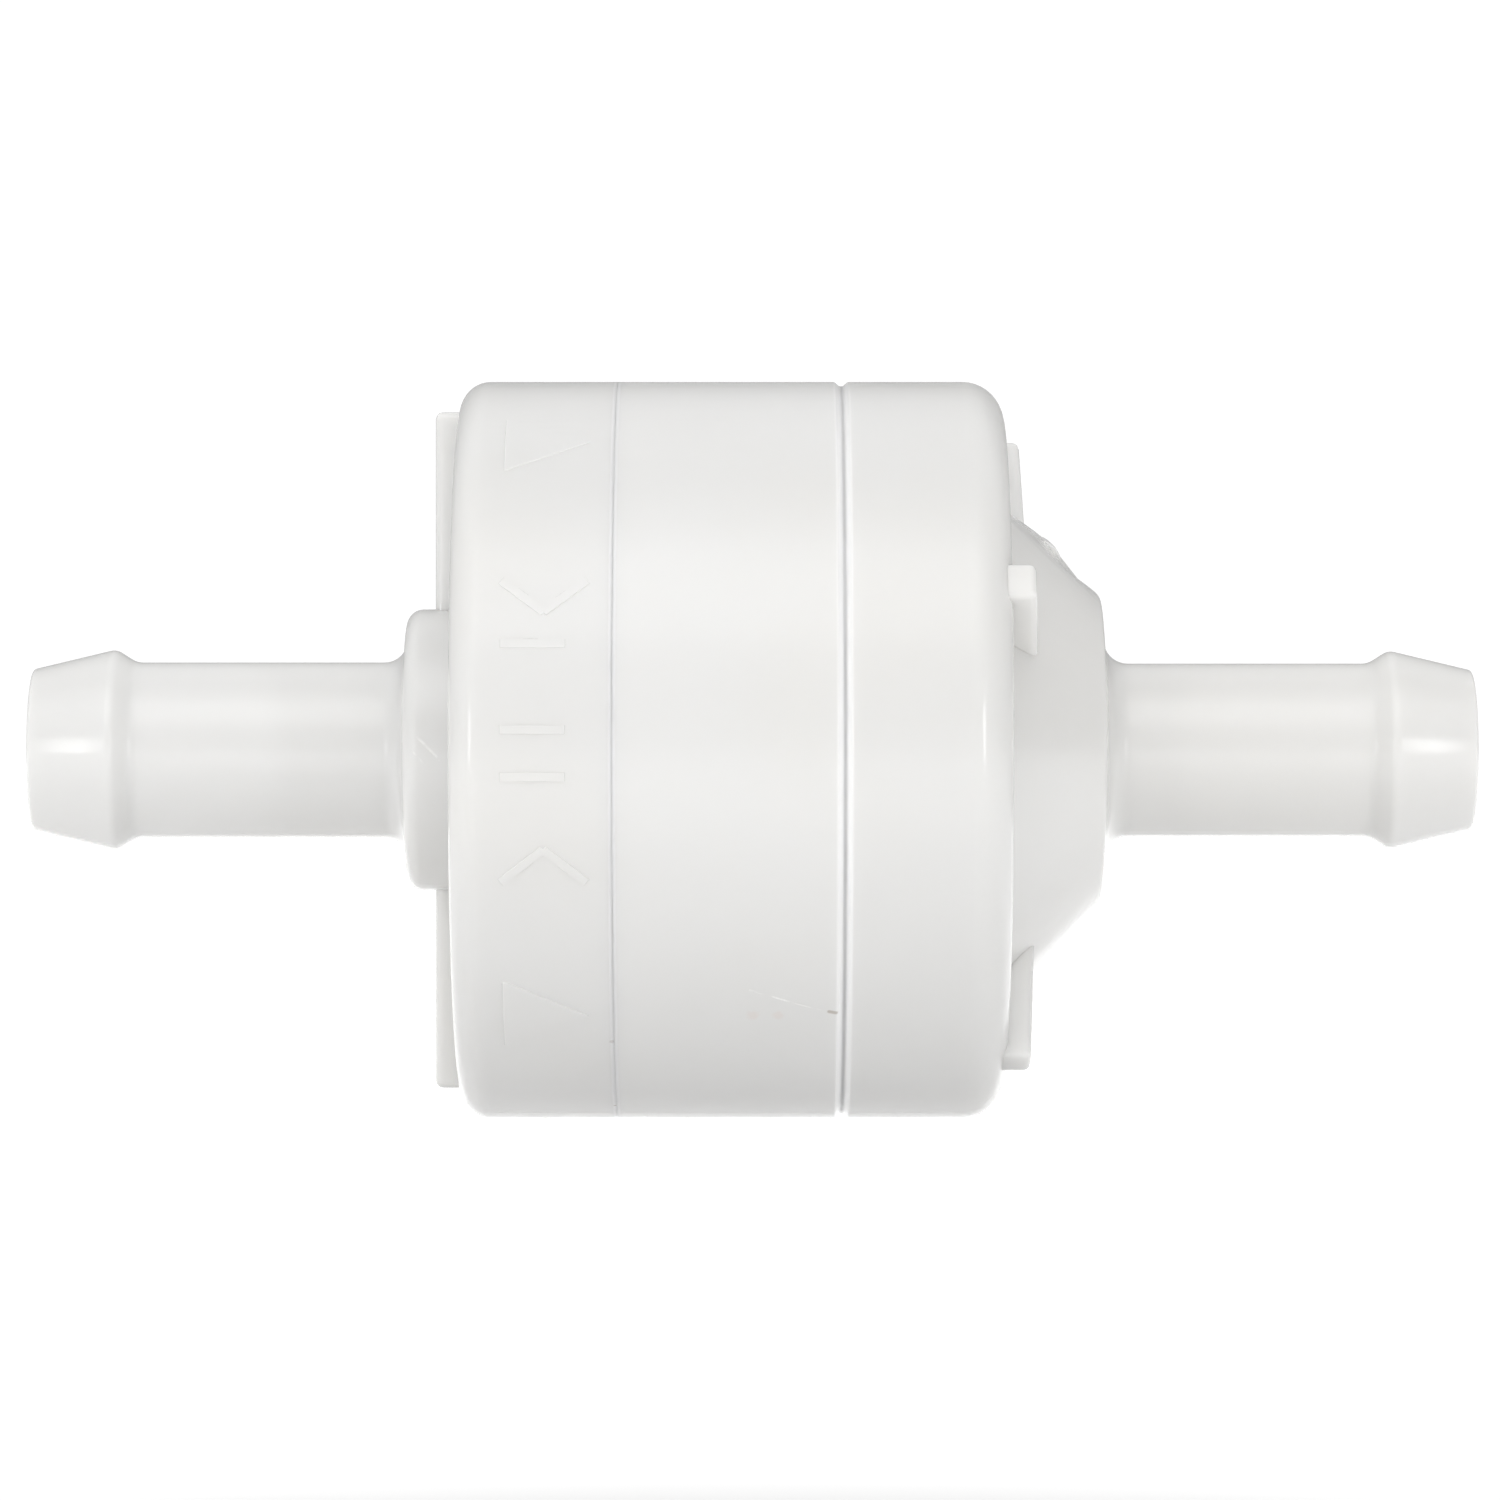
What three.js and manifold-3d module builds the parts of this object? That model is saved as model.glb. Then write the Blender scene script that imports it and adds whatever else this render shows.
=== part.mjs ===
// Inline fuel filter for a small engine: a welded three-piece plastic housing with a
// barbed hose fitting at each end and a pleated paper cartridge sealed inside it.
//
// Millimetres, +Z up. The flow axis is X: fuel enters at the -X end and leaves at the +X end.
// The origin is the middle of the overall length, on the flow axis.

import * as THREE from 'three';
import { mergeVertices } from 'three/addons/utils/BufferGeometryUtils.js';
import Module from 'manifold-3d';

const wasm = await Module();
wasm.setup();

// ---------------------------------------------------------------- driving dimensions

// Facets of the turned pieces and of their rounded edges.
const turnFacets = 48;
const edgeSteps = 4;

// Housing drum.
const overallLength = 52.95;
const drumDiameter = 27.1;
const drumLength = 19.9;
const drumOffset = -0.75;
const inletCapLength = 5.77;
const outletCapLength = 5.95;
const sideWall = 1.9;
const endWall = 1.7;
const inletEdgeRadius = 1.1;
const outletEdgeRadius = 1.5;

// Welded seams: a lip of one piece enters a counterbore of the next.
const weldLipLength = 1.6;
const weldLipThickness = 0.85;
const weldLipClearance = 0.05;
const weldLipEndGap = 0.1;
const flushSeamChamfer = 0.06;
const grooveChamfer = 0.25;

// Hose fittings.
const boreDiameter = 4.0;
const inletShankDiameter = 6.45;
const outletShankDiameter = 6.37;
const barbHeight = 0.48;
const barbConeLength = 3.05;
const barbBackLength = 0.75;
const tipStep = 0.25;
const tipEdge = 0.12;
const neckFillet = 0.85;

// Round boss behind the inlet fitting.
const bossDiameter = 10.36;
const bossLength = 2.0;
const bossEdgeRadius = 0.6;

// Conical hub behind the outlet fitting.
const hubBaseDiameter = 18.7;
const hubTopDiameter = 11.3;
const hubConeLength = 3.58;
const hubCrown = 0.22;
const hubNeckFillet = 0.4;

// Drive ribs that the weld spinner grips on the two end faces.
const ribThickness = 1.4;
const ribOverlap = 0.4;
const ribCorner = 0.15;
const inletRibCount = 2;
const inletRibInset = 1.12;
const inletRibHeight = 0.95;
const inletRibTilt = 0;
const outletRibCount = 4;
const outletRibInset = 0.73;
const outletRibHeight = 0.82;
const outletRibRise = 0.3;
const outletRibTilt = 28;

// Scar of the moulding gate on the hub cone: a trimmed flat, a short stub and a scoop. Each
// point is [share of the cone's length, height off the cone].
const gateFlat = [[0, -0.6], [0.41, 0]];
const gateStub = [[0.41, 0], [0.54, 0.14], [0.57, 0]];
const gateScoop = [[0.57, 0], [0.79, -0.22], [0.96, 0]];
const gateAngle = 84;
const gateReach = 1.5;
const gateRoot = 0.4;
const gateCutWidth = 7.0;
const gateStubWidth = 2.2;

// Raised marks on the inlet cap: two flow arrows, with plain strokes between them.
const markHeight = 0.1;
const markDepth = 0.4;
const markCentreFromSeam = 2.4;
const markLength = 3.0;
const arrowWidth = 3.2;
const arrowAngles = [54, -44];
const strokeWidth = 0.3;
const chevronDrop = 1.2;
const chevronAngles = [26, -20];
const barAngles = [16, 3, -4];

// Filter cartridge.
const flowGap = 1.53;
const discThickness = 1.0;
const discRimDepth = 1.6;
const discRimThickness = 0.5;
const paperClearance = 0.2;
const paperThickness = 0.3;
const pleatCount = 20;
const crestWidth = 0.9;
const valleyWidth = 0.6;
const pottingThickness = 0.8;
const pottingClearance = 0.1;
const coreDiameter = 8.8;
const coreWall = 0.5;
const coreClearance = 0.05;
const windowRows = 3;
const windowsAround = 8;
const windowWidth = 1.6;
const windowGap = 1.0;

// Stand-offs at the closed end, and the pad and spigot at the open end.
const nubCount = 4;
const nubDiameter = 1.6;
const nubHeight = 1.2;
const nubInset = 2.6;
const padHeight = 0.9;
const padDiameter = 11.0;
const spigotDiameter = 6.6;
const spigotWall = 1.1;
const spigotLength = 3.5;
const socketClearance = 0.45;
const socketEndGap = 0.3;
const sealSection = 1.0;
const sealGrooveRoom = 0.1;
const sealFromTip = 1.2;

// Folded metal clip that closes the pleated strip.
const clipSheet = 0.25;
const clipDepth = 2.0;
const clipClearance = 0.03;
const clipEndGap = 0.1;

// ---------------------------------------------------------------- derived places

const drumRadius = drumDiameter / 2;
const boreRadius = boreDiameter / 2;
const inletTip = -overallLength / 2;
const outletTip = overallLength / 2;
const inletFace = drumOffset - drumLength / 2;
const outletFace = drumOffset + drumLength / 2;
const flushSeam = inletFace + inletCapLength;
const grooveSeam = outletFace - outletCapLength;
const chamberRadius = drumRadius - sideWall;
const lipRadius = chamberRadius + weldLipThickness;
const counterboreRadius = lipRadius + weldLipClearance;
const counterboreLength = weldLipLength + weldLipEndGap;

const chamberStart = inletFace + endWall;
const chamberEnd = outletFace - endWall;
const closedDiscBack = chamberStart + nubHeight;
const closedDiscFront = closedDiscBack + discThickness;
const openDiscBack = chamberEnd - padHeight;
const openDiscFront = openDiscBack - discThickness;
const paperStart = closedDiscFront + pottingThickness;
const paperEnd = openDiscFront - pottingThickness;
const discRadius = chamberRadius - flowGap;
const discRimRadius = discRadius - discRimThickness;
const coreRadius = coreDiameter / 2;
const coreSeatRadius = coreRadius - coreWall - coreClearance;
const paperOuter = discRimRadius - paperClearance;
const paperInner = coreRadius + paperClearance;
const spigotRadius = spigotDiameter / 2;
const spigotBoreRadius = spigotRadius - spigotWall;
const spigotEnd = chamberEnd + spigotLength;
const socketRadius = spigotRadius + socketClearance;
const socketEnd = spigotEnd + socketEndGap;
const sealGrooveRadius = socketRadius - sealSection;
const sealCentre = spigotEnd - sealFromTip;

// ---------------------------------------------------------------- helpers

// Points of an arc in the half plane (x, r); 0 degrees is +X and 90 degrees is +r.
function arc(centreX, centreR, radius, fromDegrees, toDegrees, steps = edgeSteps) {
  const points = [];
  for (let i = 0; i <= steps; i += 1) {
    const angle = THREE.MathUtils.degToRad(fromDegrees + ((toDegrees - fromDegrees) * i) / steps);
    points.push([centreX + radius * Math.cos(angle), centreR + radius * Math.sin(angle)]);
  }
  return points;
}

// A closed body from any three.js geometry.
function solid(geometry) {
  const bare = geometry.clone();
  bare.deleteAttribute('normal');
  bare.deleteAttribute('uv');
  const merged = mergeVertices(bare, 1e-4);
  const kept = [];
  const index = merged.index.array;
  for (let i = 0; i < index.length; i += 3) {
    const [a, b, c] = index.slice(i, i + 3);
    if (a !== b && b !== c && c !== a) {
      kept.push(a, b, c);
    }
  }
  return new wasm.Manifold(new wasm.Mesh({
    numProp: 3,
    vertProperties: new Float32Array(merged.attributes.position.array),
    triVerts: new Uint32Array(kept),
  }));
}

// A body turned about the X axis from an outline of [x, r] points. The outline starts and ends
// on the axis, or is a loop that stays clear of it.
function turned(outline) {
  const profile = outline.map(([x, r]) => new THREE.Vector2(r, x));
  if (THREE.ShapeUtils.isClockWise(profile)) {
    profile.reverse();
  }
  if (profile[0].x > 0) {
    profile.push(profile[0].clone());
  }
  const geometry = new THREE.LatheGeometry(profile, turnFacets);
  geometry.rotateZ(-Math.PI / 2);
  return solid(geometry);
}

// A flat outline of [x, y] points pushed along z.
function prism(points, depth) {
  const shape = new THREE.Shape(points.map(([x, y]) => new THREE.Vector2(x, y)));
  return new THREE.ExtrudeGeometry(shape, { depth, bevelEnabled: false });
}

function addAll(body, parts) {
  return parts.reduce((sum, part) => sum.add(part), body);
}

function subtractAll(body, parts) {
  return parts.reduce((rest, part) => rest.subtract(part), body);
}

function namedMesh(name, body, material) {
  const { vertProperties, triVerts } = body.getMesh();
  const geometry = new THREE.BufferGeometry();
  geometry.setAttribute('position', new THREE.BufferAttribute(vertProperties, 3));
  geometry.setIndex(new THREE.BufferAttribute(triVerts, 1));
  geometry.computeVertexNormals();
  const mesh = new THREE.Mesh(geometry, material);
  mesh.name = name;
  return mesh;
}

// ---------------------------------------------------------------- housing

// Outside of a hose fitting from its tip to its neck, for a fitting that points along +X.
function fittingOutline(neck, tip, shankRadius) {
  const peak = tip - barbConeLength;
  const tipRadius = shankRadius - tipStep;
  return [
    [neck, shankRadius],
    [peak - barbBackLength, shankRadius],
    [peak, shankRadius + barbHeight],
    [tip - tipEdge, tipRadius + tipEdge / 2],
    [tip, tipRadius - tipEdge / 2],
    [tip, boreRadius],
  ];
}

// The same outline for a fitting that points along -X.
function mirrored(outline) {
  return outline.map(([x, r]) => [-x, r]);
}

// Radial bars on an end face. Their outline is drawn as [radius, height above the face].
function driveRibs(face, direction, count, innerRadius, rim, innerHeight, outerHeight, tilt) {
  const outline = [
    [innerRadius, -ribOverlap],
    [rim, -ribOverlap],
    [rim, outerHeight - ribCorner],
    [rim - ribCorner, outerHeight],
    [innerRadius, innerHeight],
  ];
  const ribs = [];
  for (let i = 0; i < count; i += 1) {
    const bar = prism(outline, ribThickness);
    bar.translate(0, 0, -ribThickness / 2);
    bar.rotateZ(Math.PI / 2);
    bar.rotateY(direction > 0 ? Math.PI : 0);
    bar.rotateX(THREE.MathUtils.degToRad(90 - tilt + (360 / count) * i));
    bar.translate(face, 0, 0);
    ribs.push(solid(bar));
  }
  return ribs;
}

// A raised mark on the drum. Its outline is drawn as [along the axis, around the drum], and
// its angle is measured from -Y upward.
function raisedMark(outline, angle) {
  const mark = prism(outline, markDepth * 2);
  mark.translate(flushSeam - markCentreFromSeam, 0, drumRadius - markDepth);
  mark.rotateX(THREE.MathUtils.degToRad(90 - angle));
  return solid(mark);
}

// The four corners of a straight stroke between two points.
function stroke([x1, y1], [x2, y2]) {
  const along = new THREE.Vector2(x2 - x1, y2 - y1).setLength(strokeWidth / 2);
  return [
    [x1 + along.y, y1 - along.x],
    [x2 + along.y, y2 - along.x],
    [x2 - along.y, y2 + along.x],
    [x1 - along.y, y1 + along.x],
  ];
}

function capMarks() {
  const half = markLength / 2;
  const arrow = [[-half, -arrowWidth / 2], [half, 0], [-half, arrowWidth / 2]];
  const bar = stroke([-half, 0], [half / 2, 0]);
  const marks = arrowAngles.map((angle) => raisedMark(arrow, angle));
  marks.push(...barAngles.map((angle) => raisedMark(bar, angle)));
  for (const angle of chevronAngles) {
    const tip = -Math.sign(angle) * chevronDrop;
    marks.push(raisedMark(stroke([-half, 0], [0, tip]), angle));
    marks.push(raisedMark(stroke([half, 0], [0, tip]), angle));
  }
  const start = flushSeam - markCentreFromSeam - markLength;
  const end = flushSeam - markCentreFromSeam + markLength;
  const shell = turned([
    [start, drumRadius - markDepth],
    [end, drumRadius - markDepth],
    [end, drumRadius + markHeight],
    [start, drumRadius + markHeight],
  ]);
  return marks.map((mark) => mark.intersect(shell));
}

function inletCap() {
  const bossRadius = bossDiameter / 2;
  const bossFace = inletFace - bossLength;
  const shankRadius = inletShankDiameter / 2;
  const body = turned([
    [chamberStart, boreRadius],
    [chamberStart, chamberRadius],
    [flushSeam + weldLipLength, chamberRadius],
    [flushSeam + weldLipLength, lipRadius],
    [flushSeam, lipRadius],
    [flushSeam, drumRadius - flushSeamChamfer],
    [flushSeam - flushSeamChamfer, drumRadius],
    ...arc(inletFace + inletEdgeRadius, drumRadius - inletEdgeRadius, inletEdgeRadius, 90, 180),
    [inletFace, bossRadius],
    ...arc(bossFace + bossEdgeRadius, bossRadius - bossEdgeRadius, bossEdgeRadius, 90, 180),
    ...arc(bossFace - neckFillet, shankRadius + neckFillet, neckFillet, 0, -90),
    ...mirrored(fittingOutline(neckFillet - bossFace, -inletTip, shankRadius)).slice(1),
  ]);
  const ribs = driveRibs(inletFace, -1, inletRibCount, bossRadius - ribOverlap,
    drumRadius - inletRibInset, inletRibHeight, inletRibHeight, inletRibTilt);
  return addAll(body, [...ribs, ...capMarks()]);
}

function centreSleeve() {
  const lipEnd = grooveSeam + weldLipLength;
  return turned([
    [flushSeam + counterboreLength, chamberRadius],
    [flushSeam + counterboreLength, counterboreRadius],
    [flushSeam, counterboreRadius],
    [flushSeam, drumRadius - flushSeamChamfer],
    [flushSeam + flushSeamChamfer, drumRadius],
    [grooveSeam - grooveChamfer, drumRadius],
    [grooveSeam, drumRadius - grooveChamfer],
    [grooveSeam, lipRadius],
    [lipEnd, lipRadius],
    [lipEnd, chamberRadius],
  ]);
}

// A body over part of the hub cone's upper side. Its points are [share of the cone's length,
// height off the cone], and it reaches out or in from them to the given height.
function gateBody(points, reach, width) {
  const onCone = ([share, height]) => [
    outletFace + hubConeLength * share,
    THREE.MathUtils.lerp(hubBaseDiameter, hubTopDiameter, share) / 2 + height,
  ];
  const first = points[0][0];
  const last = points[points.length - 1][0];
  const body = prism([...points, [last, reach], [first, reach]].map(onCone), width);
  body.translate(0, 0, -width / 2);
  body.rotateX(Math.PI / 2 + THREE.MathUtils.degToRad(90 - gateAngle));
  return solid(body);
}

function outletCap() {
  const hubBase = hubBaseDiameter / 2;
  const hubTop = hubTopDiameter / 2;
  const coneEnd = outletFace + hubConeLength;
  const shankRadius = outletShankDiameter / 2;
  const neckStart = coneEnd + hubCrown;
  const body = turned([
    [socketEnd, boreRadius],
    [socketEnd, socketRadius],
    [chamberEnd, socketRadius],
    [chamberEnd, chamberRadius],
    [grooveSeam + counterboreLength, chamberRadius],
    [grooveSeam + counterboreLength, counterboreRadius],
    [grooveSeam, counterboreRadius],
    [grooveSeam, drumRadius - grooveChamfer],
    [grooveSeam + grooveChamfer, drumRadius],
    ...arc(outletFace - outletEdgeRadius, drumRadius - outletEdgeRadius, outletEdgeRadius, 90, 0),
    [outletFace, hubBase],
    [coneEnd, hubTop],
    ...arc(neckStart + hubNeckFillet, shankRadius + hubNeckFillet, hubNeckFillet, 180, 270),
    ...fittingOutline(neckStart + hubNeckFillet, outletTip, shankRadius).slice(1),
  ]);
  const ribs = driveRibs(outletFace, 1, outletRibCount, hubTop, drumRadius - outletRibInset,
    outletRibHeight + outletRibRise, outletRibHeight, outletRibTilt);
  const trimmed = subtractAll(body, [
    gateBody(gateFlat, gateReach, gateCutWidth),
    gateBody(gateScoop, gateReach, gateCutWidth),
  ]);
  return addAll(trimmed, [...ribs, gateBody(gateStub, -gateRoot, gateStubWidth)]);
}

// ---------------------------------------------------------------- cartridge

function closedEndDisc() {
  const disc = turned([
    [paperStart, 0],
    [paperStart, coreSeatRadius],
    [closedDiscFront, coreSeatRadius],
    [closedDiscFront, discRimRadius],
    [closedDiscFront + discRimDepth, discRimRadius],
    [closedDiscFront + discRimDepth, discRadius],
    [closedDiscBack, discRadius],
    [closedDiscBack, 0],
  ]);
  const nubs = [];
  for (let i = 0; i < nubCount; i += 1) {
    const angle = ((i + 0.5) / nubCount) * 2 * Math.PI;
    const height = nubHeight + discThickness / 2;
    const nub = new THREE.CylinderGeometry(nubDiameter / 2, nubDiameter / 2, height, 12);
    nub.rotateZ(Math.PI / 2);
    nub.translate(chamberStart + height / 2, 0, discRadius - nubInset);
    nub.rotateX(angle);
    nubs.push(solid(nub));
  }
  return addAll(disc, nubs);
}

function openEndDisc() {
  const grooveHalf = sealSection / 2 + sealGrooveRoom / 2;
  return turned([
    [paperEnd, spigotBoreRadius],
    [paperEnd, coreSeatRadius],
    [openDiscFront, coreSeatRadius],
    [openDiscFront, discRimRadius],
    [openDiscFront - discRimDepth, discRimRadius],
    [openDiscFront - discRimDepth, discRadius],
    [openDiscBack, discRadius],
    [openDiscBack, padDiameter / 2],
    [chamberEnd, padDiameter / 2],
    [chamberEnd, spigotRadius],
    [sealCentre - grooveHalf, spigotRadius],
    [sealCentre - grooveHalf, sealGrooveRadius],
    [sealCentre + grooveHalf, sealGrooveRadius],
    [sealCentre + grooveHalf, spigotRadius],
    [spigotEnd, spigotRadius],
    [spigotEnd, spigotBoreRadius],
  ]);
}

function pottingRing(start) {
  const inner = coreRadius + pottingClearance;
  const outer = discRimRadius - pottingClearance;
  const end = start + pottingThickness;
  return turned([[start, inner], [end, inner], [end, outer], [start, outer]]);
}

function spigotSeal() {
  const ring = arc(sealCentre, (socketRadius + sealGrooveRadius) / 2, sealSection / 2, 0, 360, 12);
  return turned(ring.slice(1));
}

function coreTube() {
  const tube = turned([
    [closedDiscFront, coreRadius - coreWall],
    [openDiscFront, coreRadius - coreWall],
    [openDiscFront, coreRadius],
    [closedDiscFront, coreRadius],
  ]);
  const pitch = (paperEnd - paperStart) / windowRows;
  const cutters = [];
  for (let row = 0; row < windowRows; row += 1) {
    for (let i = 0; i < windowsAround / 2; i += 1) {
      const cutter = new THREE.BoxGeometry(pitch - windowGap, windowWidth, coreDiameter * 2);
      cutter.translate(paperStart + pitch * (row + 0.5), 0, 0);
      cutter.rotateX((i / windowsAround) * 2 * Math.PI);
      cutters.push(solid(cutter));
    }
  }
  return subtractAll(tube, cutters);
}

// Half angles of the pleat folds: what faces outward, and what faces the core.
const foldPitch = Math.PI / pleatCount;
const crestHalf = (crestWidth + paperThickness) / 2;
const crestOut = Math.asin(crestHalf / paperOuter);
const crestIn = Math.asin((crestWidth - paperThickness) / 2 / (paperOuter - paperThickness));
const valleyOut = foldPitch - Math.asin((valleyWidth - paperThickness) / 2 / (paperInner + paperThickness));
const valleyIn = foldPitch - Math.asin((valleyWidth + paperThickness) / 2 / paperInner);

function pleatOutline(crestRadius, crestAngle, valleyRadius, valleyAngle) {
  const points = [];
  for (let i = 0; i < pleatCount; i += 1) {
    const middle = 2 * foldPitch * i;
    const corners = [
      [valleyRadius, -valleyAngle], [crestRadius, -crestAngle],
      [crestRadius, crestAngle], [valleyRadius, valleyAngle],
    ];
    for (const [radius, angle] of corners) {
      points.push(new THREE.Vector2(radius * Math.cos(middle + angle), radius * Math.sin(middle + angle)));
    }
  }
  return points;
}

function pleatedPaper() {
  const sheet = new THREE.Shape(
    pleatOutline(paperOuter, crestOut, paperInner + paperThickness, valleyOut));
  sheet.holes.push(new THREE.Path(
    pleatOutline(paperOuter - paperThickness, crestIn, paperInner, valleyIn)));
  const length = paperEnd - paperStart;
  const geometry = new THREE.ExtrudeGeometry(sheet, { depth: length, bevelEnabled: false });
  geometry.rotateY(Math.PI / 2);
  geometry.rotateX(Math.PI);
  geometry.translate(paperStart, 0, 0);
  return solid(geometry);
}

// A channel folded over the top pleat, with its web on the crest and a leg down each side.
function seamClip() {
  const crest = paperOuter * Math.cos(crestOut);
  const valley = (paperInner + paperThickness) * Math.cos(valleyOut);
  const valleyHalf = (paperInner + paperThickness) * Math.sin(valleyOut);
  const flare = Math.max(0, (valleyHalf - crestHalf) * clipDepth / (crest - valley));
  const insideHalf = crestHalf + flare + clipClearance;
  const outsideHalf = insideHalf + clipSheet;
  const outline = [
    [-outsideHalf, crest - clipDepth],
    [-insideHalf, crest - clipDepth],
    [-insideHalf, crest],
    [insideHalf, crest],
    [insideHalf, crest - clipDepth],
    [outsideHalf, crest - clipDepth],
    [outsideHalf, crest + clipSheet],
    [-outsideHalf, crest + clipSheet],
  ];
  const start = closedDiscFront + discRimDepth + clipEndGap;
  const end = openDiscFront - discRimDepth - clipEndGap;
  const channel = prism(outline, end - start);
  channel.rotateX(Math.PI / 2);
  channel.rotateZ(Math.PI / 2);
  channel.translate(start, 0, 0);
  return solid(channel);
}

// ---------------------------------------------------------------- materials

function plain(color, roughness, metalness = 0) {
  return new THREE.MeshStandardMaterial({ color, roughness, metalness });
}

const milkyPlastic = plain(0xf1f1ee, 0.45);
const sleevePlastic = plain(0xf4f3f0, 0.42);
const cartridgePlastic = plain(0xe9e8e2, 0.5);
const filterPaper = plain(0xd9c79a, 0.95);
const adhesive = plain(0xd8b66a, 0.5);
const sealRubber = plain(0x2a2a2b, 0.7);
const clipSteel = plain(0xa9acb0, 0.35, 1.0);

// ---------------------------------------------------------------- assembly

const filter = new THREE.Group();
filter.name = 'fuel_filter';
filter.add(
  namedMesh('inlet_cap', inletCap(), milkyPlastic.clone()),
  namedMesh('centre_sleeve', centreSleeve(), sleevePlastic),
  namedMesh('outlet_cap', outletCap(), milkyPlastic.clone()),
  namedMesh('closed_end_disc', closedEndDisc(), cartridgePlastic.clone()),
  namedMesh('open_end_disc', openEndDisc(), cartridgePlastic.clone()),
  namedMesh('pleated_paper', pleatedPaper(), filterPaper),
  namedMesh('core_tube', coreTube(), cartridgePlastic.clone()),
  namedMesh('closed_end_potting', pottingRing(closedDiscFront), adhesive.clone()),
  namedMesh('open_end_potting', pottingRing(paperEnd), adhesive.clone()),
  namedMesh('pleat_seam_clip', seamClip(), clipSteel),
  namedMesh('spigot_seal', spigotSeal(), sealRubber),
);

export default filter;
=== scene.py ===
"""Looks of an inline fuel filter for a small engine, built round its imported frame.

The flow axis is X, with the inlet at -X and the outlet at +X; +Z is up and -Y is the side that
carries the raised flow arrows. Everything is in metres.
"""

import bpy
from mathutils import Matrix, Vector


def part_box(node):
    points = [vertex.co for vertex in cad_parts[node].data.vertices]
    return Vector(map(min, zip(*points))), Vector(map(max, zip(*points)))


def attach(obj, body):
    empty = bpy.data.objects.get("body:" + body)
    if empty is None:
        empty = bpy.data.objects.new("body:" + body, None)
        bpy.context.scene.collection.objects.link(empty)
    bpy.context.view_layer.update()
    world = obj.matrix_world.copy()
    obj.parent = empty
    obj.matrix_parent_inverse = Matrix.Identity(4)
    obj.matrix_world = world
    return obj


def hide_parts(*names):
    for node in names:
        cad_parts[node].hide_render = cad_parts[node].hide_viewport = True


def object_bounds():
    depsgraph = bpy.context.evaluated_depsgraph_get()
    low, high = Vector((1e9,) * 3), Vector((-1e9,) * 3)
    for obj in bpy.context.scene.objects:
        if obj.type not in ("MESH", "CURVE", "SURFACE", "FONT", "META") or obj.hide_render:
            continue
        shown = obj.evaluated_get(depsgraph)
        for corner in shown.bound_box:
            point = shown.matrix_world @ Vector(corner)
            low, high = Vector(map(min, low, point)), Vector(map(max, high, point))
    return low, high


bl_info = {
    "name": "Inline fuel filter",
    "version": (1, 0, 0),
    "blender": (4, 5, 0),
    "location": "View3D > Sidebar > Fuel filter",
    "description": "Builds the looks of a small-engine inline fuel filter round its packed frame",
    "category": "Object",
}

import math

import bmesh
import bpy
from bpy.props import FloatProperty, FloatVectorProperty, IntProperty, PointerProperty
from mathutils import Matrix, Vector, noise

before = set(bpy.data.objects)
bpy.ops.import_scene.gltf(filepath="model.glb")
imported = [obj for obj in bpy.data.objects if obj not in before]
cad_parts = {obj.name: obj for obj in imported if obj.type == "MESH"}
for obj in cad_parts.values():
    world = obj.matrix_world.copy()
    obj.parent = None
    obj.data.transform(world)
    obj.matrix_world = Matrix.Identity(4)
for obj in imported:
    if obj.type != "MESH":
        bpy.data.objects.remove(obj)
CAD_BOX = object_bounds()

MM = 0.001

# Places that the frame fixes.
SLEEVE_LOW, SLEEVE_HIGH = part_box("centre_sleeve")
INLET_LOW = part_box("inlet_cap")[0]
OUTLET_LOW, OUTLET_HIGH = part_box("outlet_cap")
CLOSED_LOW, CLOSED_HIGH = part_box("closed_end_disc")
OPEN_LOW, OPEN_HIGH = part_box("open_end_disc")
PAPER_LOW, PAPER_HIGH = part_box("pleated_paper")
CORE_LOW, CORE_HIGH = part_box("core_tube")
CLIP_LOW, CLIP_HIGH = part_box("pleat_seam_clip")
SEAL_LOW, SEAL_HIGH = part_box("spigot_seal")

DRUM_RADIUS = SLEEVE_HIGH.z
FLUSH_SEAM = SLEEVE_LOW.x
GROOVE_SEAM = OUTLET_LOW.x
INLET_TIP = INLET_LOW.x
OUTLET_TIP = OUTLET_HIGH.x
DISC_RADIUS = CLOSED_HIGH.z

# Marks on the inlet cap: angles from -Y upward, in degrees.
ARROW_ANGLES = (54, -44)
CHEVRON_ANGLES = (26, -20)
BAR_ANGLES = (16, 3, -4)

# Gate scar: (share of the hub cone's length, height off the cone in millimetres), and the
# heights that its cuts reach out to and its stub reaches in to.
GATE_FLAT = ((0, -0.6), (0.41, 0))
GATE_SCOOP = ((0.57, 0), (0.79, -0.22), (0.96, 0))
GATE_STUB = ((0.41, 0), (0.47, 0.1), (0.54, 0.14), (0.58, 0))
GATE_REACH = 1.5
GATE_ROOT = -0.4

# Bottom of the grooved seam, as shares of its depth.
GROOVE_FOOT = 0.3
GROOVE_SLOPE = 0.62
GROOVE_BOTTOM = 0.65

# Where dirt is packed in the flush seam, from -Y upward.
DIRTY_ARC = (math.radians(-36), math.radians(-21))

CARTRIDGE_FACETS = 128
NUB_FACETS = 32

# Stage. The camera's place and the drop to the floor are in millimetres.
CAMERA_PLACE = (-0.09, -258, 0)
CAMERA_LENS = 168.0
FLOOR_DROP = 20

# Soft lights: name, degrees to the right, degrees up, distance, width, height, watts.
SOFTBOXES = (
    ("softbox_inlet_side", -33, 4, 0.7, 0.05, 0.2, 0.27),
    ("softbox_outlet_side", 33, 4, 0.7, 0.05, 0.2, 0.32),
    ("softbox_high", 0, 50, 0.8, 0.6, 0.5, 0.5),
)


# ---------------------------------------------------------------- properties

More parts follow.
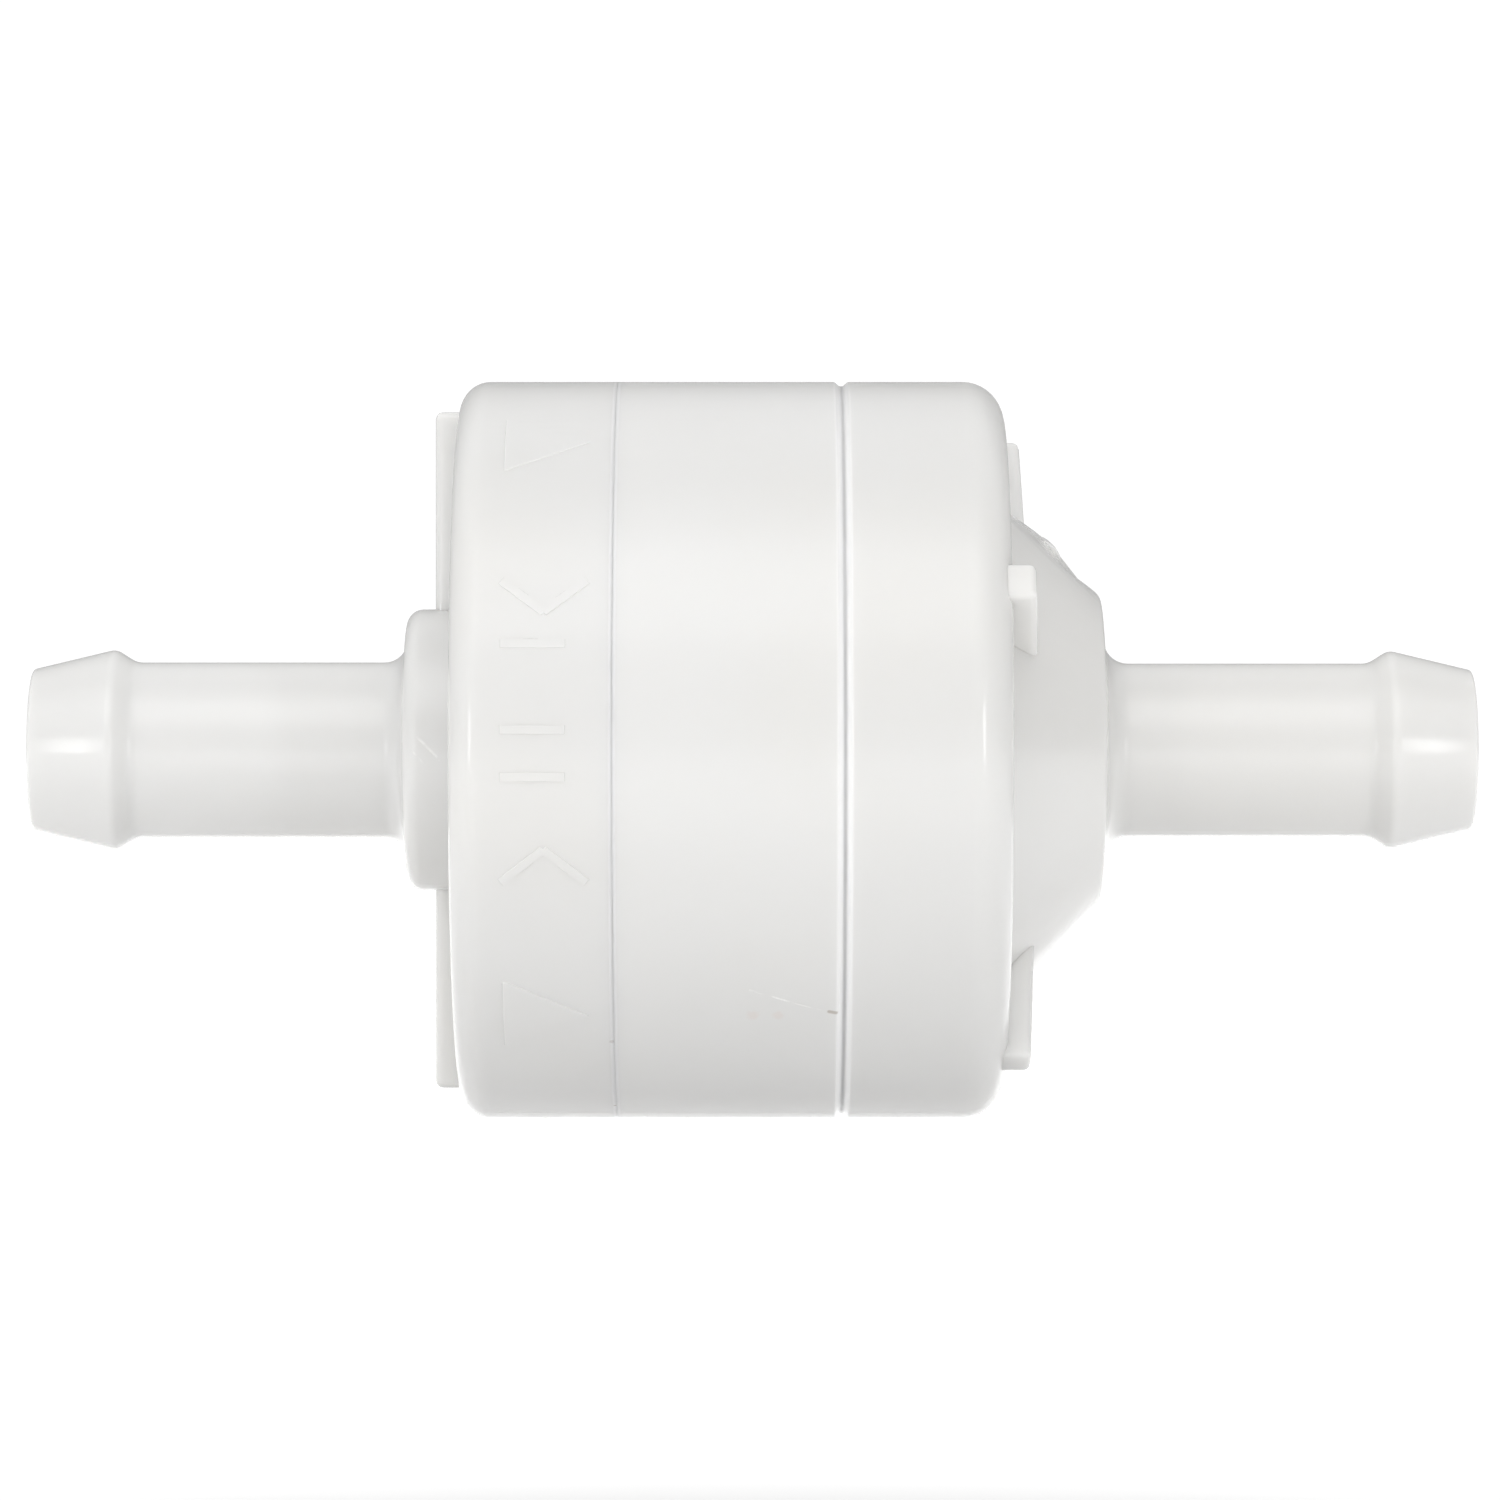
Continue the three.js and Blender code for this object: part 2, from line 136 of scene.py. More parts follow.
def length(name, description, millimetres):
    return FloatProperty(
        name=name, description=description, default=millimetres * MM,
        min=0.0, subtype="DISTANCE", unit="LENGTH", precision=5,
    )


def turn(name, description, degrees):
    return FloatProperty(
        name=name, description=description, default=math.radians(degrees),
        subtype="ANGLE", unit="ROTATION",
    )


def colour(name, description, value):
    return FloatVectorProperty(
        name=name, description=description, default=value,
        size=3, min=0.0, max=1.0, subtype="COLOR",
    )


class FilterHousing(bpy.types.PropertyGroup):
    """Sizes of the welded housing."""

    inlet_cap: length("Inlet cap length", "End face to flush seam", 5.77)
    outlet_cap: length("Outlet cap length", "Grooved seam to end face", 5.95)
    side_wall: length("Side wall", "Thickness of the drum's side", 1.9)
    end_wall: length("End wall", "Thickness of the drum's ends", 1.7)
    inlet_edge: length("Inlet edge radius", "Rounding of the drum at the inlet end", 1.1)
    outlet_edge: length("Outlet edge radius", "Rounding of the drum at the outlet end", 1.5)
    seam_chamfer: length("Flush seam chamfer", "Chamfer on each side of the flush seam", 0.012)
    groove_chamfer: length("Groove depth", "Depth and half width of the grooved seam", 0.25)
    lip_length: length("Lip length", "Length of each weld lip", 1.6)
    lip_wall: length("Lip wall", "Thickness of each weld lip", 0.85)
    lip_gap: length("Lip clearance", "Clearance round each weld lip", 0.05)
    lip_end_gap: length("Lip end gap", "Room beyond the end of each weld lip", 0.1)
    bore: length("Bore radius", "Radius of the bore through each fitting", 2.0)
    inlet_shank: length("Inlet shank radius", "Plain part of the inlet fitting", 3.225)
    outlet_shank: length("Outlet shank radius", "Plain part of the outlet fitting", 3.185)
    barb_height: length("Barb height", "How far each barb stands above its shank", 0.48)
    barb_cone: length("Barb cone length", "Tip to the barb's edge", 3.05)
    barb_back: length("Barb back length", "Slope behind the barb's edge", 0.75)
    barb_rounding: length("Barb rounding", "Rounding of each barb's edge", 0.5)
    tip_step: length("Tip step", "How much smaller the tip is than the shank", 0.25)
    boss_radius: length("Boss radius", "Round boss behind the inlet fitting", 5.18)
    boss_length: length("Boss length", "How far the boss stands off the drum", 2.0)
    boss_edge: length("Boss edge radius", "Rounding of the boss's edge", 0.6)
    boss_neck: length("Boss neck fillet", "Fillet between boss and shank", 0.85)
    hub_base: length("Hub base radius", "Outlet hub where it leaves the drum", 9.35)
    hub_top: length("Hub top radius", "Outlet hub at the end of its cone", 5.65)
    hub_cone: length("Hub cone length", "Length of the outlet hub's cone", 3.58)
    hub_crown: length("Hub crown", "Rise of the hub's end face towards the shank", 0.22)
    hub_neck: length("Hub neck fillet", "Fillet between hub and shank", 0.9)
    facets: IntProperty(name="Facets", description="Sides of each turned piece", default=192, min=24)


class FilterRibs(bpy.types.PropertyGroup):
    """Sizes of the drive ribs, gate scar and raised marks."""

    inlet_inset: length("Inlet rib inset", "Drum side to the inlet ribs' outer ends", 1.12)
    outlet_inset: length("Outlet rib inset", "Drum side to the outlet ribs' outer ends", 0.73)
    thickness: length("Rib thickness", "Thickness of each drive rib", 1.4)
    rounding: length("Rib rounding", "Rounding of the ribs' edges", 0.26)
    root: length("Rib root", "How deep the ribs reach into the wall behind them", 0.4)
    inlet_height: length("Inlet rib height", "Height of the ribs at the inlet end", 0.95)
    outlet_height: length("Outlet rib height", "Height of the outlet ribs at the rim", 0.82)
    outlet_rise: length("Outlet rib rise", "Extra height of the outlet ribs at the hub", 0.3)
    inlet_tilt: turn("Inlet rib turn", "Turn of the inlet ribs from upright", 0)
    outlet_tilt: turn("Outlet rib turn", "Turn of the outlet ribs from upright", 28)
    mark_height: length("Mark height", "How far the marks stand off the drum", 0.035)
    mark_length: length("Mark length", "Length of the marks along the drum", 3.0)
    arrow_width: length("Arrow width", "Width of the flow arrows", 3.2)
    mark_setback: length("Mark setback", "Middle of the marks to the flush seam", 2.4)
    stroke_width: length("Stroke width", "Width of the plain strokes", 0.3)
    chevron_drop: length("Chevron drop", "Depth of the chevrons", 1.2)
    gate_angle: turn("Gate angle", "Place of the gate scar round the hub, from -Y upward", 84)
    gate_cut: length("Gate cut width", "Width of the trimmed flats of the gate scar", 7.0)
    gate_stub: length("Gate stub width", "Width of the stub left by the gate", 2.2)


class FilterCartridge(bpy.types.PropertyGroup):
    """Sizes of the cartridge."""

    disc: length("Disc thickness", "Thickness of both end discs", 1.0)
    rim: length("Rim wall", "Thickness of the end discs' rims", 0.5)
    nub_height: length("Nub height", "How far the nubs hold the closed disc off the wall", 1.2)
    nub_radius: length("Nub radius", "Radius of the nubs", 0.8)
    nub_inset: length("Nub inset", "Disc edge to the middle of the nubs", 2.6)
    pad_height: length("Pad height", "How far the pad holds the open disc off the wall", 0.9)
    pad_radius: length("Pad radius", "Radius of the pad round the spigot", 5.5)
    potting: length("Potting thickness", "Adhesive between paper and disc", 0.8)
    seat_gap: length("Seat clearance", "Clearance between core and disc seats", 0.05)
    socket_gap: length("Socket clearance", "Clearance between spigot and socket", 0.45)
    socket_end_gap: length("Socket end gap", "Room beyond the end of the spigot", 0.3)
    window_gap: length("Window gap", "Bar between two windows of the core", 1.0)
    window_width: length("Window width", "Width of the core's windows", 1.6)
    core_wall: length("Core wall", "Wall of the core tube", 0.5)
    paper: length("Paper thickness", "Thickness of the pleated paper", 0.3)
    pleats: IntProperty(name="Pleats", description="Number of pleats", default=20, min=8)
    crest: length("Crest width", "Width of each outer fold", 0.9)
    valley: length("Valley width", "Width of each inner fold", 0.6)
    spigot: length("Spigot radius", "Outside radius of the outlet spigot", 3.3)
    spigot_wall: length("Spigot wall", "Wall of the outlet spigot", 1.1)
    seal: length("Seal section", "Thickness of the seal ring", 1.0)
    clip: length("Clip sheet", "Thickness of the seam clip", 0.25)


class FilterColours(bpy.types.PropertyGroup):
    """Colours of the filter."""

    housing: colour("Housing", "Milky nylon of the caps", (0.75, 0.747, 0.737))
    sleeve: colour("Sleeve", "Milky nylon of the centre sleeve", (0.76, 0.757, 0.747))
    cartridge: colour("Cartridge", "Natural plastic of discs and core", (0.78, 0.76, 0.7))
    paper: colour("Paper", "Resin-cured filter paper", (0.66, 0.5, 0.26))
    adhesive: colour("Adhesive", "Potting adhesive", (0.6, 0.36, 0.1))
    steel: colour("Steel", "Seam clip", (0.55, 0.56, 0.58))
    rubber: colour("Rubber", "Seal ring", (0.022, 0.022, 0.024))
    dirt: colour("Dirt", "Dried fuel and dust in the seams", (0.2, 0.115, 0.05))
    smudge: colour("Smudge", "Faint handling smudges", (0.7, 0.5, 0.42))
    stage: colour("Stage", "Floor", (0.96, 0.96, 0.96))


# ---------------------------------------------------------------- mesh helpers

def filleted(corners, step=math.radians(9)):
    """Rounds an outline. Each corner is (x, r, fillet radius), and a fillet is limited by its sides."""
    points = []
    count = len(corners)
    for i, (x, r, fillet) in enumerate(corners):
        corner = Vector((x, r))
        before = Vector(corners[i - 1][:2]) - corner
        after = Vector(corners[(i + 1) % count][:2]) - corner
        angle = before.angle(after)
        if fillet <= 0 or angle > math.radians(179):
            points.append(corner)
            continue
        reach = min(fillet / math.tan(angle / 2), before.length * 0.48, after.length * 0.48)
        radius = reach * math.tan(angle / 2)
        before.normalize()
        after.normalize()
        centre = corner + (before + after).normalized() * (radius / math.sin(angle / 2))
        start = corner + before * reach - centre
        sweep = math.pi - angle
        sign = -1 if before.cross(after) > 0 else 1
        steps = max(2, round(sweep / step))
        for k in range(steps + 1):
            turned_by = Matrix.Rotation(sign * sweep * k / steps, 2)
            points.append(centre + turned_by @ start)
    return points


def new_piece(name, mesh_data):
    piece = bpy.data.objects.new(name, mesh_data)
    bpy.context.scene.collection.objects.link(piece)
    return piece


def from_bmesh(name, work):
    bmesh.ops.remove_doubles(work, verts=work.verts, dist=1e-7)
    bmesh.ops.recalc_face_normals(work, faces=work.faces)
    mesh_data = bpy.data.meshes.new(name)
    work.to_mesh(mesh_data)
    work.free()
    return new_piece(name, mesh_data)


def soften(piece, degrees=32):
    """Smooth shading, with edges sharper than the angle kept crisp."""
    piece.data.shade_smooth()
    piece.data.set_sharp_from_angle(angle=math.radians(degrees))
    return piece


def turned(name, points, facets):
    """A body turned about X from a closed loop of (x, r) points; points on the axis close it."""
    work = bmesh.new()
    rings = []
    for x, r in points:
        if r < 1e-7:
            rings.append([work.verts.new((x, 0, 0))] * facets)
            continue
        ring = []
        for k in range(facets):
            angle = 2 * math.pi * k / facets
            ring.append(work.verts.new((x, r * math.sin(angle), r * math.cos(angle))))
        rings.append(ring)
    for i, ring in enumerate(rings):
        other = rings[(i + 1) % len(rings)]
        for k in range(facets):
            loop = [ring[k], ring[(k + 1) % facets], other[(k + 1) % facets], other[k]]
            corners = list(dict.fromkeys(loop))
            if len(corners) > 2:
                work.faces.new(corners)
    return from_bmesh(name, work)


def prism(name, outline, depth, rounding=0.0):
    """An outline of (x, y) points pushed along z, centred on z = 0, with its edges rounded."""
    work = bmesh.new()
    low = [work.verts.new((x, y, -depth / 2)) for x, y in outline]
    high = [work.verts.new((x, y, depth / 2)) for x, y in outline]
    work.faces.new(low[::-1])
    work.faces.new(high)
    count = len(outline)
    for i in range(count):
        j = (i + 1) % count
        work.faces.new([low[i], low[j], high[j], high[i]])
    if rounding:
        bmesh.ops.bevel(work, geom=work.edges[:], offset=rounding, segments=3,
                        profile=0.5, affect="EDGES", clamp_overlap=True)
    return from_bmesh(name, work)


def placed(piece, matrix):
    piece.data.transform(matrix)
    return piece


def without_slivers(mesh_data):
    """Splits a mesh into triangles and closes up the ones that have next to no area."""
    sliver = 0.002 * MM
    work = bmesh.new()
    work.from_mesh(mesh_data)
    for _ in range(2):
        bmesh.ops.dissolve_degenerate(work, dist=sliver, edges=work.edges)
        bmesh.ops.triangulate(work, faces=work.faces)
    work.to_mesh(mesh_data)
    work.free()


def combined(piece, tools, operation):
    """Joins or cuts a piece with tool bodies, and removes the tools."""
    for tool in tools:
        modifier = piece.modifiers.new("combine", "BOOLEAN")
        modifier.operation = operation
        modifier.solver = "MANIFOLD"
        modifier.object = tool
    graph = bpy.context.evaluated_depsgraph_get()
    result = bpy.data.meshes.new_from_object(piece.evaluated_get(graph))
    piece.modifiers.clear()
    old = piece.data
    piece.data = result
    bpy.data.meshes.remove(old)
    for tool in tools:
        tool_mesh = tool.data
        bpy.data.objects.remove(tool)
        bpy.data.meshes.remove(tool_mesh)
    result.name = piece.name
    without_slivers(result)
    return piece


def settle(piece, material, node):
    """Finishes a piece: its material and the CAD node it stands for."""
    piece.data.materials.clear()
    piece.data.materials.append(material)
    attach(piece, "root")
    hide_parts(node)
    return piece


# ---------------------------------------------------------------- shader helpers

class Nodes:
    """A node tree, with short calls for the nodes that the finishes and surroundings use."""

    def __init__(self, tree, coordinates):
        self.tree = tree
        self.place = tree.nodes.new("ShaderNodeTexCoord").outputs[coordinates]

    def wire(self, socket, value):
        if isinstance(value, bpy.types.NodeSocket):
            self.tree.links.new(value, socket)
        elif value is not None:
            socket.default_value = value

    def maths(self, operation, first, second=None, third=None):
        node = self.tree.nodes.new("ShaderNodeMath")
        node.operation = operation
        for socket, value in zip(node.inputs, (first, second, third)):
            self.wire(socket, value)
        return node.outputs[0]

    def vector(self, operation, first, second=None, scale=None):
        node = self.tree.nodes.new("ShaderNodeVectorMath")
        node.operation = operation
        self.wire(node.inputs[0], first)
        self.wire(node.inputs[1], second)
        self.wire(node.inputs[3], scale)
        return node.outputs["Value" if operation in ("DISTANCE", "DOT_PRODUCT", "LENGTH") else "Vector"]

    def split(self, vector):
        node = self.tree.nodes.new("ShaderNodeSeparateXYZ")
        self.wire(node.inputs[0], vector)
        return node.outputs

    def join(self, x, y, z):
        node = self.tree.nodes.new("ShaderNodeCombineXYZ")
        for socket, value in zip(node.inputs, (x, y, z)):
            self.wire(socket, value)
        return node.outputs[0]

    def ease(self, value, low, high, to_low=0.0, to_high=1.0):
        """A smooth step of a value from low to high."""
        node = self.tree.nodes.new("ShaderNodeMapRange")
        node.interpolation_type = "SMOOTHSTEP"
        for socket, setting in zip(node.inputs, (value, low, high, to_low, to_high)):
            self.wire(socket, setting)
        return node.outputs[0]

    def noise(self, scale, detail=2.0, roughness=0.5, vector=None):
        node = self.tree.nodes.new("ShaderNodeTexNoise")
        self.wire(node.inputs["Vector"], vector or self.place)
        node.inputs["Scale"].default_value = scale
        node.inputs["Detail"].default_value = detail
        node.inputs["Roughness"].default_value = roughness
        return node.outputs["Fac"]

    def mix(self, amount, first, second):
        node = self.tree.nodes.new("ShaderNodeMix")
        node.data_type = "RGBA"
        self.wire(node.inputs["Factor"], amount)
        self.wire(node.inputs[6], opaque(first))
        self.wire(node.inputs[7], opaque(second))
        return node.outputs[2]

    def bump(self, height, distance, strength=1.0, under=None):
        node = self.tree.nodes.new("ShaderNodeBump")
        node.inputs["Strength"].default_value = strength
        node.inputs["Distance"].default_value = distance
        self.wire(node.inputs["Height"], height)
        self.wire(node.inputs["Normal"], under)
        return node.outputs[0]


class Shader(Nodes):
    """One node-based material."""

    def __init__(self, name):
        self.material = bpy.data.materials.new(name)
        self.material.use_nodes = True
        super().__init__(self.material.node_tree, "Object")
        self.surface = self.tree.nodes["Principled BSDF"]

    def set(self, **values):
        for name, value in values.items():
            self.wire(self.surface.inputs[name.replace("_", " ")], value)


def opaque(value):
    if isinstance(value, bpy.types.NodeSocket):
        return value
    return (*value[:3], 1.0)


def tinted(value, factor):
    return tuple(min(1.0, channel * factor) for channel in value)


def on_drum(x, degrees, radius=DRUM_RADIUS):
    """A point on the drum's side: x in millimetres, and the angle from -Y upward."""
    angle = math.radians(degrees)
    return (x * MM, -radius * math.cos(angle), radius * math.sin(angle))


def speck(shader, point, size):
    """A soft round spot about a point, with a ragged edge."""
    distance = shader.vector("DISTANCE", shader.place, point)
    ragged = shader.maths("MULTIPLY_ADD", shader.noise(6000, 3), size * 0.9, -size * 0.45)
    return shader.ease(shader.maths("ADD", distance, ragged), size, size * 0.35)


def scratch(shader, start, end, width):
    """A thin line between two points."""
    start, end = Vector(start), Vector(end)
    along = end - start
    offset = shader.vector("SUBTRACT", shader.place, tuple(start))
    share = shader.vector("DOT_PRODUCT", offset, tuple(along / along.length_squared))
    share = shader.maths("MINIMUM", shader.maths("MAXIMUM", share, 0.0), 1.0)
    nearest = shader.vector("SCALE", tuple(along), scale=share)
    distance = shader.vector("DISTANCE", offset, nearest)
    return shader.ease(distance, width, width * 0.3)


def near_plane(shader, x, place, half_width, core, amount=1.0):
    """A soft band either side of a place along X, full over the core share of its half width."""
    distance = shader.maths("ABSOLUTE", shader.maths("SUBTRACT", x, place))
    return shader.ease(distance, half_width, half_width * core, 0.0, amount)


def milky_nylon(name, base, seams=(), painted_light_rims=(), specks=(), scratches=(), stains=(), rough_spots=()):
    """Natural moulded nylon: scatters light, satin, faintly mottled, with dirt held in its seams.

    seams is a list of (x, half width, amount, low angle, high angle); the paler rims are painted light,
    a paler colour in a band each side of a seam that lifts the shade in it, each (x, half width, amount);
    specks of (point, size, amount, colour); scratches and stains of (start, end, width, amount);
    rough_spots of (point, size).
    """
    colours = bpy.context.scene.filter_colours
    shader = Shader(name)
    x, y, z = shader.split(shader.place)
    around = shader.maths("ARCTAN2", z, shader.maths("MULTIPLY", y, -1.0))

    mottle = shader.ease(shader.noise(170, 3, 0.6), 0.35, 0.7)
    cloud = shader.ease(shader.noise(75, 2, 0.5), 0.4, 0.65)
    body = shader.mix(mottle, base, tinted(base, 0.992))
    warm = (base[0] * 0.99, base[1] * 0.98, base[2] * 0.96)
    body = shader.mix(shader.maths("MULTIPLY", cloud, 0.4), body, warm)

    finish = body
    grit = shader.ease(shader.noise(1500, 4, 0.7), 0.52, 0.66)
    band = shader.noise(160, 2, 0.5, shader.join(0.0, y, z))
    for seam_x, half_width, amount, low, high in seams:
        near = near_plane(shader, x, seam_x, half_width, 0.25)
        middle, reach = (low + high) / 2, (high - low) / 2
        off_middle = shader.maths("ABSOLUTE", shader.maths("SUBTRACT", around, middle))
        packed = shader.ease(off_middle, reach * 1.25, reach * 0.7, 0.0, amount)
        strewn = shader.ease(band, 0.5, 0.68, 0.0, 0.3)
        level = shader.maths("MAXIMUM", packed, shader.maths("MULTIPLY", strewn, grit))
        finish = shader.mix(shader.maths("MULTIPLY", near, level), finish, colours.dirt)
    # Painted light: a paler colour in a band each side of a seam, lifting the shade in the seam.
    for rim_x, half_width, amount in painted_light_rims:
        painted_seam_light = near_plane(shader, x, rim_x, half_width, 0.4, amount)
        finish = shader.mix(painted_seam_light, finish, (0.97, 0.97, 0.965))
    for point, size, amount, spot_colour in specks:
        spot = shader.maths("MULTIPLY", speck(shader, point, size), amount)
        finish = shader.mix(spot, finish, spot_colour)
    for start, end, width, amount in stains:
        stain = shader.maths("MULTIPLY", scratch(shader, start, end, width), amount)
        finish = shader.mix(stain, finish, colours.dirt)

    rough = shader.ease(shader.noise(420, 4, 0.6), 0.3, 0.75, 0.15, 0.21)
    grain = shader.noise(2600, 3, 0.55)
    swell = shader.noise(260, 2, 0.45)
    height = shader.maths("MULTIPLY_ADD", swell, 3.0, grain)
    normal = shader.bump(height, 0.000003, 0.6)
    for start, end, width, amount in scratches:
        line = shader.maths("MULTIPLY", scratch(shader, start, end, width),
                            shader.ease(shader.noise(2400, 3, 0.6), 0.35, 0.6))
        finish = shader.mix(shader.maths("MULTIPLY", line, amount), finish, tinted(base, 1.22))
        normal = shader.bump(shader.maths("MULTIPLY", line, -1.0), 0.000012, 0.7, normal)
    for point, size in rough_spots:
        patch = speck(shader, point, size)
        torn = shader.maths("MULTIPLY", shader.noise(2200, 5, 0.75), patch)
        normal = shader.bump(torn, 0.00006, 1.0, normal)
        rough = shader.maths("MULTIPLY_ADD", patch, 0.12, rough)

    shader.set(Base_Color=finish, Roughness=rough, Normal=normal, IOR=1.53,
               Subsurface_Weight=0.85, Subsurface_Radius=(1.0, 0.99, 0.96),
               Subsurface_Scale=0.0005, Subsurface_Anisotropy=0.3)
    return shader.material


def natural_plastic():
    """Cartridge plastic: cream, satin, with faint flow lines of the moulding."""
    base = bpy.context.scene.filter_colours.cartridge
    shader = Shader("cartridge_plastic")
    _x, y, z = shader.split(shader.place)
    stretched = shader.join(0.0, shader.maths("MULTIPLY", y, 2.5), z)
    flow = shader.ease(shader.noise(300, 4, 0.6, stretched), 0.35, 0.7)
    grain = shader.noise(2400, 3, 0.6)
    shader.set(Base_Color=shader.mix(flow, base, tinted(base, 0.9)),
               Roughness=shader.ease(grain, 0.3, 0.7, 0.38, 0.52),
               Normal=shader.bump(grain, 0.00001, 0.5), IOR=1.5,
               Subsurface_Weight=0.5, Subsurface_Radius=(1.0, 0.9, 0.7), Subsurface_Scale=0.0008)
    return shader.material


def filter_paper():
    """Resin-cured paper: fibres, faint ribbing across the pleats and darker cured patches."""
    base = bpy.context.scene.filter_colours.paper
    shader = Shader("filter_paper")
    x, y, z = shader.split(shader.place)
    fibre_place = shader.join(shader.maths("MULTIPLY", x, 0.35), y, z)
    fibre = shader.noise(5200, 6, 0.75, fibre_place)
    ribbing = shader.maths("SINE", shader.maths("MULTIPLY", x, 2 * math.pi / (0.9 * MM)))
    stain = shader.ease(shader.noise(210, 3, 0.6), 0.4, 0.7)
    tone = shader.mix(shader.ease(fibre, 0.3, 0.72), tinted(base, 0.72), tinted(base, 1.12))
    tone = shader.mix(shader.maths("MULTIPLY", stain, 0.4), tone, tinted(base, 0.7))
    height = shader.maths("MULTIPLY_ADD", ribbing, 0.5, fibre)
    shader.set(Base_Color=tone, Roughness=shader.ease(fibre, 0.2, 0.8, 0.82, 0.97),
               Normal=shader.bump(height, 0.00005, 0.8))
    return shader.material


def cured_adhesive():
    """Amber potting adhesive: glossy, with trapped bubbles and thicker darker runs."""
    base = bpy.context.scene.filter_colours.adhesive
    shader = Shader("potting_adhesive")
    cell = shader.tree.nodes.new("ShaderNodeTexVoronoi")
    cell.inputs["Scale"].default_value = 1100
    shader.wire(cell.inputs["Vector"], shader.place)
    bubble = shader.ease(cell.outputs["Distance"], 0.22, 0.12)
    run = shader.ease(shader.noise(240, 3, 0.6), 0.35, 0.7)
    tone = shader.mix(run, tinted(base, 1.15), tinted(base, 0.7))
    tone = shader.mix(shader.maths("MULTIPLY", bubble, 0.5), tone, tinted(base, 1.5))
    shader.set(Base_Color=tone, Roughness=shader.ease(run, 0.0, 1.0, 0.18, 0.3),
               Normal=shader.bump(bubble, 0.00004, 0.6), IOR=1.55,
               Subsurface_Weight=0.4, Subsurface_Radius=(1.0, 0.6, 0.2), Subsurface_Scale=0.0006)
    return shader.material


def strip_steel():
    """Folded strip: rolled along its length, with a little staining."""
    base = bpy.context.scene.filter_colours.steel
    shader = Shader("clip_steel")
    x, y, z = shader.split(shader.place)
    rolled = shader.join(shader.maths("MULTIPLY", x, 0.04), y, z)
    streak = shader.noise(9000, 4, 0.6, rolled)
    stain = shader.ease(shader.noise(500, 3, 0.6), 0.45, 0.75)
    tone = shader.mix(shader.maths("MULTIPLY", stain, 0.5), base, tinted(base, 0.6))
    shader.set(Base_Color=tone, Metallic=1.0, Roughness=shader.ease(streak, 0.3, 0.7, 0.24, 0.42),
               Normal=shader.bump(streak, 0.000006, 0.6))
    return shader.material


def seal_rubber():
    """Moulded rubber: near black, matt, with a bloom of dust."""
    base = bpy.context.scene.filter_colours.rubber
    shader = Shader("seal_rubber")
    dust = shader.ease(shader.noise(700, 5, 0.7), 0.5, 0.8)
    grain = shader.noise(5200, 3, 0.6)
    shader.set(Base_Color=shader.mix(dust, base, (0.07, 0.068, 0.064)),
               Roughness=shader.ease(dust, 0.0, 1.0, 0.5, 0.78),
               Normal=shader.bump(grain, 0.000012, 0.6))
    return shader.material


# ---------------------------------------------------------------- housing pieces

def fitting_corners(size, neck, tip, shank, side):
    """Corners of a hose fitting from the foot of its barb to its bore, pointing along side (+1 or -1).
    The neck argument is not used.
    """
    peak = tip - side * size.barb_cone
    tip_radius = shank - size.tip_step
    return [
        (peak - side * size.barb_back, shank, 0.8 * MM),
        (peak, shank + size.barb_height, size.barb_rounding),
        (tip, tip_radius, 0.16 * MM),
        (tip, size.bore, 0.1 * MM),
    ]


def drive_ribs(face, side, count, inner, rim, inner_height, outer_height, tilt):
    """Radial bars on an end face, drawn as (radius, height above the face)."""
    ribs = bpy.context.scene.filter_ribs
    outline = [(inner, -ribs.root), (rim, -ribs.root), (rim, outer_height), (inner, inner_height)]
    made = []
    for i in range(count):
        bar = prism(f"rib_{i}", outline, ribs.thickness, ribs.rounding)
        angle = math.radians(90) - tilt + 2 * math.pi * i / count
        flip = Matrix.Rotation(math.pi if side > 0 else 0.0, 4, "Y")
        stand = Matrix.Rotation(math.pi / 2, 4, "Z")
        matrix = Matrix.Translation((face, 0, 0)) @ Matrix.Rotation(angle, 4, "X") @ flip @ stand
        made.append(placed(bar, matrix))
    return made


def raised_patch(name, left, right, angle, rows, columns):
    """A low pad that follows the drum. left(s) and right(s) give (x, around) for s from 0 to 1."""
    ribs = bpy.context.scene.filter_ribs
    centre_x = FLUSH_SEAM - ribs.mark_setback
    top = DRUM_RADIUS + ribs.mark_height
    foot = DRUM_RADIUS - 0.3 * MM
    draft = 0.07 * MM
    work = bmesh.new()

    def at(x, around, radius):
        turned_to = angle + around / DRUM_RADIUS
        return work.verts.new((centre_x + x, -radius * math.cos(turned_to), radius * math.sin(turned_to)))

    grid = []
    for i in range(rows + 1):
        a, b = Vector(left(i / rows)), Vector(right(i / rows))
        grid.append([a.lerp(b, j / columns) for j in range(columns + 1)])
    middle = sum((p for row in grid for p in row), Vector((0, 0))) / ((rows + 1) * (columns + 1))
    tops = [[at(p.x, p.y, top) for p in row] for row in grid]
    for i in range(rows):
        for j in range(columns):
            work.faces.new([tops[i][j], tops[i][j + 1], tops[i + 1][j + 1], tops[i + 1][j]])
    edge = [(0, j) for j in range(columns + 1)] + [(i, columns) for i in range(1, rows + 1)]
    edge += [(rows, j) for j in range(columns - 1, -1, -1)] + [(i, 0) for i in range(rows - 1, 0, -1)]
    feet = []
    for i, j in edge:
        away = grid[i][j] - middle
        out = grid[i][j] + away.normalized() * draft * 3
        feet.append(at(out.x, out.y, foot))
    for k, (i, j) in enumerate(edge):
        n = (k + 1) % len(edge)
        work.faces.new([tops[i][j], tops[edge[n][0]][edge[n][1]], feet[n], feet[k]])
    work.faces.new(feet)
    return from_bmesh(name, work)


def flow_arrow(name, degrees):
    ribs = bpy.context.scene.filter_ribs
    half, width, blunt = ribs.mark_length / 2, ribs.arrow_width, 0.12 * MM

    def back(s):
        return (-half, (s - 0.5) * width)

    def front(s):
        return (half - abs(2 * s - 1) * (ribs.mark_length - blunt), (s - 0.5) * width)

    return raised_patch(name, back, front, math.radians(degrees), rows=24, columns=10)


